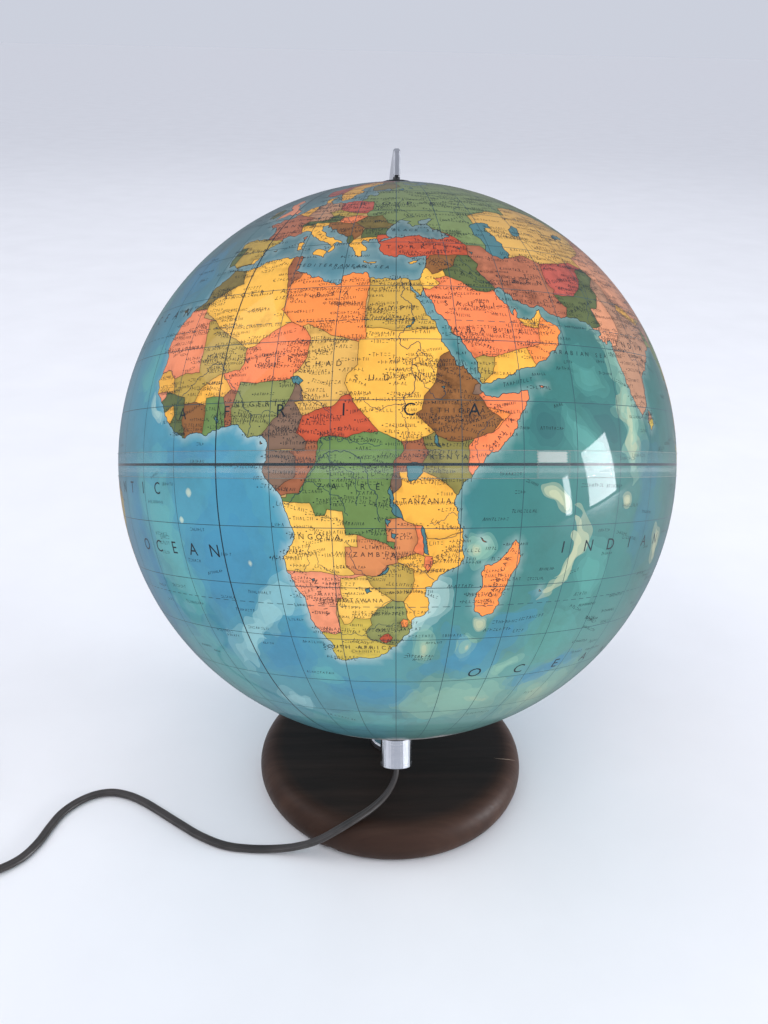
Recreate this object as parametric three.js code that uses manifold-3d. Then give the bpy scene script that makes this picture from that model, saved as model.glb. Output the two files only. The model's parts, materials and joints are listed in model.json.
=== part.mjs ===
// An illuminated desktop globe, 300 mm across, on a round turned wooden base.
// A flat C-shaped aluminium arm stands on the base behind the globe. Its upper tip carries the pivot
// pin of the north pole, and its lower end is slotted into a turned socket at the south pole. The
// socket holds a hollow lamp tube, which the globe turns on, and the mains flex leaves through it.
//
// Millimetres, +Z up. The origin is the centre of the base's underside, +Y is behind the globe and
// +X to its right.

import * as THREE from 'three';
import { mergeVertices } from 'three/addons/utils/BufferGeometryUtils.js';
import Module from 'manifold-3d';

const wasm = await Module();
wasm.setup();

// ---- driving dimensions ----

const GAP = 0.3; // clearance between pieces that touch

const GLOBE_RADIUS = 150;
const SHELL = 2; // wall of the printed plastic shells
const TILT = THREE.MathUtils.degToRad(23.5);
const GLOBE_CENTRE = new THREE.Vector3(0, 18, 202);
const SOUTH_HOLE = 12; // radius of the opening at the south pole
const NORTH_HOLE = 6.3;
const TAPE_WIDTH = 11.5;
const TAPE_THICKNESS = 0.3;
const JOINT_RING_INNER = 145.8; // the plastic ring that joins the two shells from inside
const JOINT_RING_OUTER = 147;
const JOINT_RING_HALF_HEIGHT = 8;
const GLOBE_SIDES = 44;

const FELT_THICKNESS = 1.5;
const FELT_RADIUS = 73;
const BASE_TOP = 22;
const BASE_TOP_RADIUS = 70;
const BASE_MAX_RADIUS = 81;
const BASE_FOOT_RADIUS = 78.8;
const BASE_SHOULDER = 12.5; // height of its rounded shoulder
const COUNTERBORE_RADIUS = 10;
const COUNTERBORE_CEILING = 10;
const BASE_SIDES = 48;

const ARM_THICKNESS = 3.8;
const ARM_INNER = 158.5;
const ARM_OUTER = 173.5;
const ARM_TIP_OVERRUN = 4; // how far the arm's tip runs past the pole
const ARM_EDGE = 0.8; // its softened edges
const ARM_END_OUTER = 168; // its outer radius where its lower end is tapered to enter the socket
const FOOT_RADIUS = 12.5;
const FOOT_FLANGE = 4;
const FOOT_HUB_RADIUS = 6.5;
const FOOT_HUB_TOP = 34;

const SCREW_RADIUS = 3;
const SCREW_TOP = 31;
const SCREW_HEAD_RADIUS = 5.5;
const SCREW_HEAD_LOW = 4.6;
const WASHER_OUTER = 8.8;
const WASHER_THICKNESS = 1.3;
const TUBE_RADIUS = 5;
const TUBE_BORE = 3.6;
const TUBE_LOW = -166.2;
const TUBE_HIGH = -98;
const SOCKET_RADIUS = 8.8;
const SOCKET_LOW = -170.5;
const SOCKET_SEAT = -157; // the floor of the recess that takes the lock nut
const SOCKET_HIGH = -153.9;
const SOCKET_RECESS_RADIUS = 7.3;
const SLOT_DEPTH_RADIUS = 6.3; // how near to the axis the arm's slot in the socket is cut
const LOCK_NUT_HIGH = -154.2;
const LOCK_NUT_FLATS = 12;
const THRUST_WASHER_OUTER = 8.2;
const THRUST_WASHER_LOW = -153.4;
const THRUST_WASHER_HIGH = -152.7;
const COLLAR_LOW = -152.3;
const COLLAR_SEAT = -149.9; // where the collar meets the south shell
const COLLAR_HIGH = -143;
const COLLAR_RADIUS = 16;
const COLLAR_NUT_OUTER = 16.8;

const PIN_RADIUS = 1;
const PIN_LOW = 143;
const PIN_HIGH = 166;
const BUSH_OUTER = 1.9;
const BUSH_LOW = 154.6;
const CAP_LOW = 143.4;
const CAP_SEAT = 150.2; // where the cap meets the north shell
const CAP_HIGH = 154.3;
const CAP_RADIUS = 10;

const HOLDER_RADIUS = 13.8; // the lamp holder's outer sleeve
const HOLDER_BORE = 11.8;
const BULB_RADIUS = 21;
const BULB_HEIGHT = -30; // where the centre of the lamp's ball is
const BULB_WALL = 0.8;

const CORD_WIDTH = 5.2; // twin flat flex
const CORD_THICKNESS = 2.8;
const COIL_CENTRE = new THREE.Vector2(-288, -22);
const COIL_RADIUS = 28.6; // at the middle of its turns
const COIL_PITCH = 5.5; // between turns side by side
const COIL_LAYER = 2.9; // between turns on each other
const COIL_COLUMNS = 3;
const COIL_LAYERS = 3;
const COIL_LIFT = 0.8; // the tie passes under the turns

const SWITCH_LENGTH = 58;
const SWITCH_WIDTH = 23;
const SWITCH_HEIGHT = 15;
const SWITCH_SPLIT = 7; // height where its two halves meet
const SWITCH_CENTRE = new THREE.Vector3(-270, -84, 0);
const SWITCH_WALL = 2;
const SWITCH_CORNER = 6;
const ROCKER_LENGTH = 17.2;
const ROCKER_WIDTH = 10;
const ROCKER_AXLE_HEIGHT = 11.6;
const ROCKER_TILT = THREE.MathUtils.degToRad(9); // either way from level, and it rests at one end

const PLUG_LENGTH = 36;
const PLUG_ENTRY = new THREE.Vector3(COIL_CENTRE.x - COIL_RADIUS - COIL_PITCH, 4, 7);
const PLUG_HALF_WIDTH = 17.2;
const PLUG_THICKNESS = 13;
const PLUG_EDGE = 2.5;
const PLUG_PIN_LENGTH = 19;
const PLUG_PIN_DEPTH = 5; // how far the pins are set into the body
const PLUG_PIN_RADIUS = 2;
const PLUG_PIN_SPACING = 19;

// The flex's centreline, from the socket's mouth over the rim of the base and along the table to the
// switch.
const LEAD_ROUTE = [
  [0, -49.99, 45.64], [0, -51.3, 42.64], [-0.6, -52.7, 39.2], [-2.2, -54.5, 35.5], [-5.1, -57, 31.5],
  [-9.4, -60.4, 28.5], [-15.4, -65, 26.6], [-23.4, -70.4, 25.2], [-33.4, -74.6, 21.6],
  [-44.6, -75, 14.4], [-56.2, -72.2, 7.4], [-68, -69.4, 3.1], [-83, -67.8, 1.9], [-97.5, -65, 1.9],
  [-112.5, -57.3, 1.9], [-126, -47.2, 1.9], [-139, -37, 1.9], [-149, -29.4, 1.9], [-159, -23.6, 1.9],
  [-170, -20.4, 1.9], [-180, -22.2, 1.9], [-189, -28.2, 1.9], [-196, -37.2, 1.9], [-200, -48, 1.9],
  [-203.5, -60, 1.9], [-210, -71.6, 1.9], [-221, -80, 2.3], [-233, -83.6, 3.8], [-240.4, -84, 5],
];

// From the switch round into the coil.
const TAIL_ROUTE = [
  [-299.8, -84, 5], [-306.4, -83.2, 4], [-314.8, -77.6, 2.9], [-320, -68, 2.7], [-322.2, -56, 2.7],
  [-322.3, -40, 2.6],
];

// ---- materials ----

const finish = (color, roughness, metalness = 0) =>
  new THREE.MeshStandardMaterial({ color, roughness, metalness });

const FINISH = {
  wood: finish(0x3b241c, 0.5),
  felt: finish(0x20362a, 0.95),
  castAluminium: finish(0xa9abb4, 0.42, 0.9),
  turnedAluminium: finish(0xcfd2dc, 0.25, 1),
  steel: finish(0xb4b6b8, 0.35, 1),
  brass: finish(0xc79a4a, 0.35, 1),
  blackPlastic: finish(0x17171a, 0.45),
  whitePlastic: finish(0xe6e3da, 0.5),
  northMap: finish(0x6fa0a4, 0.2),
  southMap: finish(0x5f9db8, 0.2),
  clearTape: finish(0xdfe8e4, 0.1),
  ceramic: finish(0xe9e3d2, 0.4),
  glass: finish(0xf6f1e4, 0.15),
  flex: finish(0x3a3634, 0.55),
};

// ---- shape helpers ----

const v2 = (x, y) => new THREE.Vector2(x, y);

function bare(geometry) {
  const plain = geometry.index ? geometry : geometry.clone();
  plain.deleteAttribute('normal');
  plain.deleteAttribute('uv');
  return mergeVertices(plain, 1e-4);
}

function toSolid(geometry) {
  const plain = bare(geometry);
  return new wasm.Manifold(new wasm.Mesh({
    numProp: 3,
    vertProperties: new Float32Array(plain.attributes.position.array),
    triVerts: new Uint32Array(plain.index.array),
  }));
}

function fromSolid(solid) {
  const mesh = solid.getMesh();
  const geometry = new THREE.BufferGeometry();
  geometry.setAttribute('position', new THREE.BufferAttribute(mesh.vertProperties, 3));
  geometry.setIndex(new THREE.BufferAttribute(mesh.triVerts, 1));
  return geometry;
}

const joined = (first, ...others) =>
  fromSolid(others.reduce((solid, other) => solid.add(toSolid(other)), toSolid(first)));

const cut = (first, ...others) =>
  fromSolid(others.reduce((solid, other) => solid.subtract(toSolid(other)), toSolid(first)));

// A solid of revolution about +Z. The profile's points are [radius, height], going anticlockwise.
function turned(profile, sides = 20) {
  const points = profile.map(([radius, height]) => v2(radius, height));
  return new THREE.LatheGeometry(points, sides).rotateX(Math.PI / 2);
}

// A ring of rectangular section about +Z.
const ring = (inner, outer, low, high, sides = 20) =>
  turned([[inner, low], [outer, low], [outer, high], [inner, high], [inner, low]], sides);

const rod = (radius, low, high, sides = 20) =>
  turned([[0, low], [radius, low], [radius, high], [0, high]], sides);

// An arc's points as [radius, height], from one angle to the other, both in degrees from the equator.
function arcPoints(radius, from, to, steps, centre = [0, 0]) {
  return Array.from({ length: steps + 1 }, (_, i) => {
    const angle = THREE.MathUtils.degToRad(from + ((to - from) * i) / steps);
    return [centre[0] + radius * Math.cos(angle), centre[1] + radius * Math.sin(angle)];
  });
}

// A shape drawn in the (Y, Z) plane and given a thickness along X, centred on X = 0, with softened edges.
function uprightPlate(shape, thickness, edge = 0) {
  const geometry = new THREE.ExtrudeGeometry(shape, {
    depth: thickness - 2 * edge,
    bevelEnabled: edge > 0,
    bevelThickness: edge,
    bevelSize: edge,
    bevelOffset: -edge,
    bevelSegments: 1,
    curveSegments: 8,
  });
  const basis = new THREE.Matrix4().makeBasis(
    new THREE.Vector3(0, 1, 0), new THREE.Vector3(0, 0, 1), new THREE.Vector3(1, 0, 0));
  return geometry.translate(0, 0, edge - thickness / 2).applyMatrix4(basis);
}

// A rounded rectangle lying in the (X, Y) plane, extruded upwards from low to high.
function roundedBlock(width, depth, radius, low, high) {
  const [x, y] = [width / 2, depth / 2];
  const shape = new THREE.Shape();
  shape.moveTo(-x + radius, -y);
  shape.lineTo(x - radius, -y);
  shape.absarc(x - radius, -y + radius, radius, -Math.PI / 2, 0, false);
  shape.absarc(x - radius, y - radius, radius, 0, Math.PI / 2, false);
  shape.absarc(-x + radius, y - radius, radius, Math.PI / 2, Math.PI, false);
  shape.absarc(-x + radius, -y + radius, radius, Math.PI, Math.PI * 1.5, false);
  const geometry = new THREE.ExtrudeGeometry(shape, {
    depth: high - low, bevelEnabled: false, curveSegments: 4,
  });
  return geometry.translate(0, 0, low);
}

function part(name, geometry, material) {
  const mesh = new THREE.Mesh(geometry, material);
  mesh.name = name;
  return mesh;
}

// ---- base ----

function woodenBase() {
  const foot = FELT_THICKNESS + GAP;
  const widest = BASE_TOP - BASE_SHOULDER;
  const reach = BASE_MAX_RADIUS - BASE_TOP_RADIUS;
  const shoulder = arcPoints(1, 0, 90, 6).map(
    ([x, y]) => [BASE_TOP_RADIUS + reach * x, widest + BASE_SHOULDER * y]);
  const bore = SCREW_RADIUS + GAP;
  return turned([
    [COUNTERBORE_RADIUS, foot],
    [BASE_FOOT_RADIUS - 1, foot],
    [BASE_FOOT_RADIUS, foot + 1],
    [BASE_MAX_RADIUS - 0.4, widest - 3],
    ...shoulder,
    [bore, BASE_TOP],
    [bore, COUNTERBORE_CEILING],
    [COUNTERBORE_RADIUS, COUNTERBORE_CEILING],
    [COUNTERBORE_RADIUS, foot],
  ], BASE_SIDES);
}

function baseScrew() {
  const chamfer = 0.9;
  const headHigh = COUNTERBORE_CEILING - 2 * GAP - WASHER_THICKNESS;
  return turned([
    [0, SCREW_HEAD_LOW], [SCREW_HEAD_RADIUS - chamfer, SCREW_HEAD_LOW],
    [SCREW_HEAD_RADIUS, SCREW_HEAD_LOW + chamfer], [SCREW_HEAD_RADIUS, headHigh],
    [SCREW_RADIUS, headHigh], [SCREW_RADIUS, SCREW_TOP], [0, SCREW_TOP],
  ]);
}

function baseWasher() {
  const high = COUNTERBORE_CEILING - GAP;
  return ring(SCREW_RADIUS + GAP, WASHER_OUTER, high - WASHER_THICKNESS, high);
}

const baseGroup = new THREE.Group();
baseGroup.add(
  part('felt_pad', rod(FELT_RADIUS, 0, FELT_THICKNESS, BASE_SIDES), FINISH.felt),
  part('wooden_base', woodenBase(), FINISH.wood),
  part('base_screw', baseScrew(), FINISH.steel),
  part('base_washer', baseWasher(), FINISH.steel),
);

// ---- arm ----

// Angles are from straight up towards the back, in degrees.
const onArc = (radius, degrees) => {
  const angle = THREE.MathUtils.degToRad(degrees);
  return [GLOBE_CENTRE.y + radius * Math.sin(angle), GLOBE_CENTRE.z + radius * Math.cos(angle)];
};

function armOutline() {
  const tilt = THREE.MathUtils.radToDeg(TILT);
  const tip = tilt - THREE.MathUtils.radToDeg(ARM_TIP_OVERRUN / ARM_INNER);
  const southPole = 180 + tilt;
  const taperFrom = 184;
  const end = southPole - 2.3;
  const tipCorner = 2.2;
  const tipCornerDegrees = 0.9;
  const steps = 40;
  const points = [];
  for (let i = 0; i <= steps; i += 1) {
    points.push(onArc(ARM_INNER, tip + ((end - tip) * i) / steps));
  }
  for (let i = 0; i <= steps; i += 1) {
    const degrees = end + ((tip + tipCornerDegrees - end) * i) / steps;
    const taper = THREE.MathUtils.smoothstep(degrees, taperFrom, end);
    points.push(onArc(THREE.MathUtils.lerp(ARM_OUTER, ARM_END_OUTER, taper), degrees));
  }
  points.push(onArc(ARM_OUTER - tipCorner, tip));
  return new THREE.Shape(points.map(([y, z]) => v2(y, z)).reverse());
}

// The web that spreads from the foot into the arm, as [behind the foot's centre, height].
function footWeb() {
  const top = GLOBE_CENTRE.z - ARM_OUTER + 8;
  const low = BASE_TOP + 2;
  const halfFoot = 8;
  const [backBend, backEnd] = [v2(14, 29), v2(40, top - 3)];
  const frontBend = v2(-10, 31);
  const [topBack, topFront] = [34, -20];
  const shape = new THREE.Shape();
  shape.moveTo(-halfFoot, low);
  shape.lineTo(halfFoot, low);
  shape.quadraticCurveTo(backBend.x, backBend.y, backEnd.x, backEnd.y);
  shape.lineTo(topBack, top);
  shape.lineTo(topFront, top);
  shape.quadraticCurveTo(frontBend.x, frontBend.y, -halfFoot, low);
  return shape;
}

function meridianArm() {
  const low = BASE_TOP + GAP;
  const flangeTop = low + FOOT_FLANGE;
  const foot = turned([
    [0, low], [FOOT_RADIUS, low], [FOOT_RADIUS, flangeTop - 0.8], [FOOT_RADIUS - 0.8, flangeTop],
    [FOOT_HUB_RADIUS + 1.5, flangeTop], [FOOT_HUB_RADIUS, flangeTop + 2], [FOOT_HUB_RADIUS, FOOT_HUB_TOP],
    [0, FOOT_HUB_TOP],
  ]);
  const screwHole = rod(SCREW_RADIUS + GAP, low - 1, SCREW_TOP + GAP);
  const plate = uprightPlate(armOutline(), ARM_THICKNESS, ARM_EDGE);
  const web = uprightPlate(footWeb(), ARM_THICKNESS - 0.4);
  const pinHole = alongAxis(rod(PIN_RADIUS + GAP, ARM_INNER - 2, PIN_HIGH + GAP, 16));
  const socketClearance = alongAxis(rod(SLOT_DEPTH_RADIUS + GAP, SOCKET_LOW - 4, SOCKET_SEAT + 6));
  return cut(joined(foot, web, plate), screwHole, pinHole, socketClearance);
}

// Moves a geometry made about the polar axis, with the globe's centre as its origin, to its place.
function alongAxis(geometry) {
  return geometry.rotateX(-TILT).translate(...GLOBE_CENTRE);
}

// The arm's end is pressed into a slot in the back of this turned socket.
function poleSocket() {
  const bore = TUBE_RADIUS + GAP;
  const edge = 0.4;
  const body = turned([
    [bore, SOCKET_LOW], [SOCKET_RADIUS - edge, SOCKET_LOW], [SOCKET_RADIUS, SOCKET_LOW + edge],
    [SOCKET_RADIUS, SOCKET_HIGH - edge], [SOCKET_RADIUS - edge, SOCKET_HIGH],
    [SOCKET_RECESS_RADIUS, SOCKET_HIGH], [SOCKET_RECESS_RADIUS, SOCKET_SEAT], [bore, SOCKET_SEAT],
    [bore, SOCKET_LOW],
  ], 32);
  const slotWidth = ARM_THICKNESS + 2 * GAP;
  const slotDepth = 4;
  const slotLow = -ARM_END_OUTER - 2 * GAP;
  const slotHeight = 2 * GAP - ARM_INNER - slotLow;
  const slot = new THREE.BoxGeometry(slotWidth, slotDepth, slotHeight)
    .translate(0, SLOT_DEPTH_RADIUS + slotDepth / 2, slotLow + slotHeight / 2);
  return cut(body, slot);
}

// ---- lamp ----

// The hexagonal nut that clamps the lamp tube in the socket.
function lockNut() {
  const low = SOCKET_SEAT + GAP;
  const outer = rod(LOCK_NUT_FLATS / Math.sqrt(3), low, LOCK_NUT_HIGH, 6);
  return cut(outer, rod(TUBE_RADIUS + GAP, low - 1, LOCK_NUT_HIGH + 1));
}

const thrustWasher = () =>
  ring(TUBE_RADIUS + GAP, THRUST_WASHER_OUTER, THRUST_WASHER_LOW, THRUST_WASHER_HIGH);

// A grommet with a flat hole for the flex.
function cordGrommet() {
  const body = rod(TUBE_RADIUS - 0.05, SOCKET_LOW, TUBE_LOW - GAP);
  const [width, thickness] = [CORD_WIDTH + 2 * GAP, CORD_THICKNESS + 2 * GAP];
  const hole = roundedBlock(width, thickness, 1.5, SOCKET_LOW - 1, TUBE_LOW + 1);
  return cut(body, hole);
}

// The holder's cap is domed, and its neck is threaded on the lamp tube.
function holderCap() {
  const bore = TUBE_RADIUS + GAP;
  const [neckLow, neckHigh, neckRadius] = [-104, -99, 8];
  const [shoulder, rim] = [-94, -86];
  return turned([
    [bore, neckLow], [neckRadius, neckLow], [neckRadius, neckHigh], [HOLDER_RADIUS, shoulder],
    [HOLDER_RADIUS, rim], [HOLDER_BORE, rim], [HOLDER_BORE, shoulder + 1], [7.6, -96.6], [bore, -96.6],
    [bore, neckLow],
  ]);
}

function bulbGlass() {
  const centre = [0, BULB_HEIGHT];
  const [neckFrom, neckTo] = [-60, 90];
  const steps = 8;
  const outer = [[6.2, -58], [6.8, -54], ...arcPoints(BULB_RADIUS, neckFrom, neckTo, steps, centre)];
  const inner = [
    ...arcPoints(BULB_RADIUS - BULB_WALL, neckTo, neckFrom, steps, centre), [6, -54], [5.4, -58],
  ];
  return turned([...outer, ...inner, [6.2, -58]]);
}

function bulbCap() {
  return turned([
    [0, -77.4], [3, -77.4], [3.4, -75.4], [6, -74.4], [6.4, -58.6], [5.6, -58.6], [5.2, -73.4], [0, -73.4],
  ]);
}

const axisGroup = new THREE.Group();
axisGroup.position.copy(GLOBE_CENTRE);
axisGroup.rotation.x = -TILT;

axisGroup.add(
  part('pole_socket', poleSocket(), FINISH.turnedAluminium),
  part('cord_grommet', cordGrommet(), FINISH.blackPlastic),
  part('lamp_tube', ring(TUBE_BORE, TUBE_RADIUS, TUBE_LOW, TUBE_HIGH), FINISH.brass),
  part('tube_lock_nut', lockNut(), FINISH.steel),
  part('thrust_washer', thrustWasher(), FINISH.whitePlastic),
  part('lamp_holder_cap', holderCap(), FINISH.blackPlastic),
  part('lamp_holder_shell', ring(HOLDER_BORE, HOLDER_RADIUS, -85.7, -62), FINISH.blackPlastic),
  part('lamp_holder_ring', ring(HOLDER_RADIUS + GAP, 17, -76, -72), FINISH.blackPlastic),
  part('contact_insert', rod(11.4, -85, -80.3), FINISH.ceramic),
  part('centre_contact', rod(2, -80, -78), FINISH.brass),
  part('screw_contact', ring(6.8, 7.4, -80, -64), FINISH.brass),
  part('bulb_cap', bulbCap(), FINISH.steel),
  part('bulb_glass', bulbGlass(), FINISH.glass),
);

// ---- north pivot ----

axisGroup.add(
  part('pivot_pin', rod(PIN_RADIUS, PIN_LOW, PIN_HIGH, 16), FINISH.steel),
  part('pivot_bush', ring(PIN_RADIUS + GAP, BUSH_OUTER, BUSH_LOW, ARM_INNER - GAP, 16),
    FINISH.blackPlastic),
);

// ---- globe ----

// One half shell, from the equator to its pole, where a round hole lets the axis through.
function hemisphere(hole) {
  const inner = GLOBE_RADIUS - SHELL;
  const latitude = (radius) => THREE.MathUtils.radToDeg(Math.acos(hole / radius));
  const equator = (radius) => THREE.MathUtils.radToDeg(Math.asin(GAP / 2 / radius));
  const steps = 9;
  const outerArc = arcPoints(GLOBE_RADIUS, equator(GLOBE_RADIUS), latitude(GLOBE_RADIUS), steps);
  const innerArc = arcPoints(inner, latitude(inner), equator(inner), steps);
  return turned([...outerArc, ...innerArc, outerArc[0]], GLOBE_SIDES);
}

function southCollar() {
  const bore = TUBE_RADIUS + 2 * GAP;
  const neck = SOUTH_HOLE - GAP;
  return turned([
    [bore, COLLAR_LOW], [COLLAR_RADIUS - 1.5, COLLAR_LOW], [COLLAR_RADIUS, COLLAR_LOW + 1.1],
    [COLLAR_RADIUS, COLLAR_SEAT + 0.4], [SOUTH_HOLE, COLLAR_SEAT], [neck, COLLAR_SEAT],
    [neck, COLLAR_HIGH], [bore, COLLAR_HIGH], [bore, COLLAR_LOW],
  ], 32);
}

function northCap() {
  const bore = PIN_RADIUS + GAP;
  const neck = NORTH_HOLE - GAP;
  const waist = CAP_RADIUS - 1;
  return turned([
    [bore, CAP_LOW], [neck, CAP_LOW], [neck, CAP_SEAT], [waist, CAP_SEAT - 0.1], [waist, CAP_HIGH - 1.9],
    [CAP_RADIUS, CAP_HIGH - 1.3], [CAP_RADIUS, CAP_HIGH], [bore, CAP_HIGH], [bore, CAP_LOW],
  ]);
}

function equatorTape() {
  const inner = GLOBE_RADIUS + GAP;
  return ring(inner, inner + TAPE_THICKNESS, -TAPE_WIDTH / 2, TAPE_WIDTH / 2, GLOBE_SIDES);
}

function jointRing() {
  const half = JOINT_RING_HALF_HEIGHT;
  return ring(JOINT_RING_INNER, JOINT_RING_OUTER, -half, half, GLOBE_SIDES);
}

axisGroup.add(
  part('north_hemisphere', hemisphere(NORTH_HOLE), FINISH.northMap),
  part('south_hemisphere', hemisphere(SOUTH_HOLE).rotateX(Math.PI), FINISH.southMap),
  part('joint_ring', jointRing(), FINISH.whitePlastic),
  part('equator_tape', equatorTape(), FINISH.clearTape),
  part('south_collar', southCollar(), FINISH.blackPlastic),
  part('south_collar_nut', ring(SOUTH_HOLE, COLLAR_NUT_OUTER, -146.6, -143.4, 32), FINISH.blackPlastic),
  part('north_cap', northCap(), FINISH.blackPlastic),
  part('north_cap_nut', ring(NORTH_HOLE, CAP_RADIUS, 143.8, 147.2), FINISH.blackPlastic),
);

// ---- flex, switch and plug ----

// The flex's flat section, wide across the direction it runs in.
function flexSection() {
  const shape = new THREE.Shape();
  const half = CORD_WIDTH / 2 - CORD_THICKNESS / 2;
  shape.moveTo(-CORD_THICKNESS / 2, -half);
  shape.absarc(0, -half, CORD_THICKNESS / 2, Math.PI, Math.PI * 2, false);
  shape.absarc(0, half, CORD_THICKNESS / 2, 0, Math.PI, false);
  return shape;
}

function flexAlong(route, steps) {
  const curve = new THREE.CatmullRomCurve3(route.map((point) => new THREE.Vector3(...point)));
  return new THREE.ExtrudeGeometry(flexSection(), {
    steps, extrudePath: curve, bevelEnabled: false, curveSegments: 3,
  });
}

function coil() {
  const halfWidth = ((COIL_COLUMNS - 1) * COIL_PITCH + CORD_WIDTH) / 2;
  const height = (COIL_LAYERS - 1) * COIL_LAYER + CORD_THICKNESS;
  const low = COIL_LIFT;
  const high = low + height;
  const outer = COIL_RADIUS + halfWidth;
  const inner = COIL_RADIUS - halfWidth;
  return turned([
    [inner + 1, low], [outer - 1, low], [outer, low + 1], [outer, high - 1], [outer - 1, high],
    [inner + 1, high], [inner, high - 1], [inner, low + 1], [inner + 1, low],
  ], 36).translate(COIL_CENTRE.x, COIL_CENTRE.y, 0);
}

function switchBase() {
  const shell = roundedBlock(SWITCH_LENGTH, SWITCH_WIDTH, SWITCH_CORNER, 0.2, SWITCH_SPLIT);
  const hollow = roundedBlock(
    SWITCH_LENGTH - 2 * SWITCH_WALL, SWITCH_WIDTH - 2 * SWITCH_WALL, SWITCH_CORNER - SWITCH_WALL,
    SWITCH_WALL, SWITCH_SPLIT + 1);
  return cut(shell, hollow);
}

// The cover steps in towards its top, and has a window for the rocker.
function switchCover() {
  const low = SWITCH_SPLIT + GAP;
  const step = 11;
  const top = SWITCH_HEIGHT - 2;
  const shell = joined(
    roundedBlock(SWITCH_LENGTH, SWITCH_WIDTH, SWITCH_CORNER, low, step),
    roundedBlock(SWITCH_LENGTH - 4, SWITCH_WIDTH - 4, SWITCH_CORNER - 1, step - 1, top),
  );
  const hollow = roundedBlock(SWITCH_LENGTH - 8, SWITCH_WIDTH - 8, 3, low - 1, top - 2);
  const window = roundedBlock(
    ROCKER_LENGTH + 1.4, ROCKER_WIDTH + 2 * GAP, 1, low - 1, SWITCH_HEIGHT + 1);
  return cut(shell, hollow, window);
}

// The rocker's axle runs along Y at its own origin.
function switchRocker() {
  const half = ROCKER_LENGTH / 2;
  const [keel, keelHalf, skirt] = [-3.2, 3, -1];
  const [crest, dish] = [2.8, 0.6];
  const shape = new THREE.Shape();
  shape.moveTo(-half, skirt);
  shape.lineTo(-keelHalf, keel);
  shape.lineTo(keelHalf, keel);
  shape.lineTo(half, skirt);
  shape.lineTo(half, crest);
  shape.quadraticCurveTo(0, dish, -half, crest);
  const body = new THREE.ExtrudeGeometry(shape, {
    depth: ROCKER_WIDTH, bevelEnabled: false, curveSegments: 6,
  });
  return body.rotateX(Math.PI / 2).translate(0, ROCKER_WIDTH / 2, 0);
}

const switchGroup = new THREE.Group();
switchGroup.position.copy(SWITCH_CENTRE);
switchGroup.add(
  part('switch_base', switchBase(), FINISH.blackPlastic),
  part('switch_cover', switchCover(), FINISH.blackPlastic),
);
const rocker = part('switch_rocker', switchRocker(), FINISH.blackPlastic);
rocker.position.z = ROCKER_AXLE_HEIGHT;
rocker.rotation.y = -ROCKER_TILT;
switchGroup.add(rocker);

// A flat two-pin plug: the flex enters its narrow end and the pins leave the wide one.
function plugBody() {
  const entryHalf = 4;
  const bend = v2(7, 16);
  const waist = v2(13, 21);
  const shoulder = v2(PLUG_HALF_WIDTH, 25);
  const shape = new THREE.Shape();
  shape.moveTo(-entryHalf, 0);
  shape.lineTo(entryHalf, 0);
  shape.quadraticCurveTo(bend.x, bend.y, waist.x, waist.y);
  shape.lineTo(shoulder.x, shoulder.y);
  shape.lineTo(PLUG_HALF_WIDTH, PLUG_LENGTH);
  shape.lineTo(-PLUG_HALF_WIDTH, PLUG_LENGTH);
  shape.lineTo(-shoulder.x, shoulder.y);
  shape.lineTo(-waist.x, waist.y);
  shape.quadraticCurveTo(-bend.x, bend.y, -entryHalf, 0);
  const body = new THREE.ExtrudeGeometry(shape, {
    depth: PLUG_THICKNESS - 2 * PLUG_EDGE,
    bevelThickness: PLUG_EDGE,
    bevelSize: PLUG_EDGE,
    bevelOffset: -PLUG_EDGE,
    bevelSegments: 2,
    curveSegments: 5,
  }).translate(0, 0, PLUG_EDGE - PLUG_THICKNESS / 2);
  const socket = (x) => rod(PLUG_PIN_RADIUS + GAP, 0, PLUG_PIN_DEPTH + 4, 16)
    .rotateX(-Math.PI / 2)
    .translate(x, PLUG_LENGTH - PLUG_PIN_DEPTH - 1, 0);
  return cut(body, socket(-PLUG_PIN_SPACING / 2), socket(PLUG_PIN_SPACING / 2));
}

function plugPin(x) {
  const length = PLUG_PIN_LENGTH + PLUG_PIN_DEPTH;
  const pin = turned([
    [0, 0], [PLUG_PIN_RADIUS, 0], [PLUG_PIN_RADIUS, length - 1.2], [1, length], [0, length],
  ], 16);
  return pin.rotateX(-Math.PI / 2).translate(x, PLUG_LENGTH - PLUG_PIN_DEPTH, 0);
}

const plugGroup = new THREE.Group();
plugGroup.position.copy(PLUG_ENTRY);
plugGroup.add(
  part('plug_body', plugBody(), FINISH.blackPlastic),
  part('plug_pin_left', plugPin(-PLUG_PIN_SPACING / 2), FINISH.steel),
  part('plug_pin_right', plugPin(PLUG_PIN_SPACING / 2), FINISH.steel),
);

const object = new THREE.Group();
object.add(
  baseGroup,
  part('meridian_arm', meridianArm(), FINISH.castAluminium),
  axisGroup,
  part('flex_lead', flexAlong(LEAD_ROUTE, 42), FINISH.flex),
  part('flex_tail', flexAlong(TAIL_ROUTE, 10), FINISH.flex),
  part('flex_coil', coil(), FINISH.flex),
  switchGroup,
  plugGroup,
);

export default object;
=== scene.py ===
# Looks of the illuminated desktop globe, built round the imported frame. Metres, +Z up, +Y to the back.
import json
import math
import random

import bpy
import numpy as np
from mathutils import Matrix, Vector
from mathutils.geometry import delaunay_2d_cdt
from mathutils.kdtree import KDTree


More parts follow.
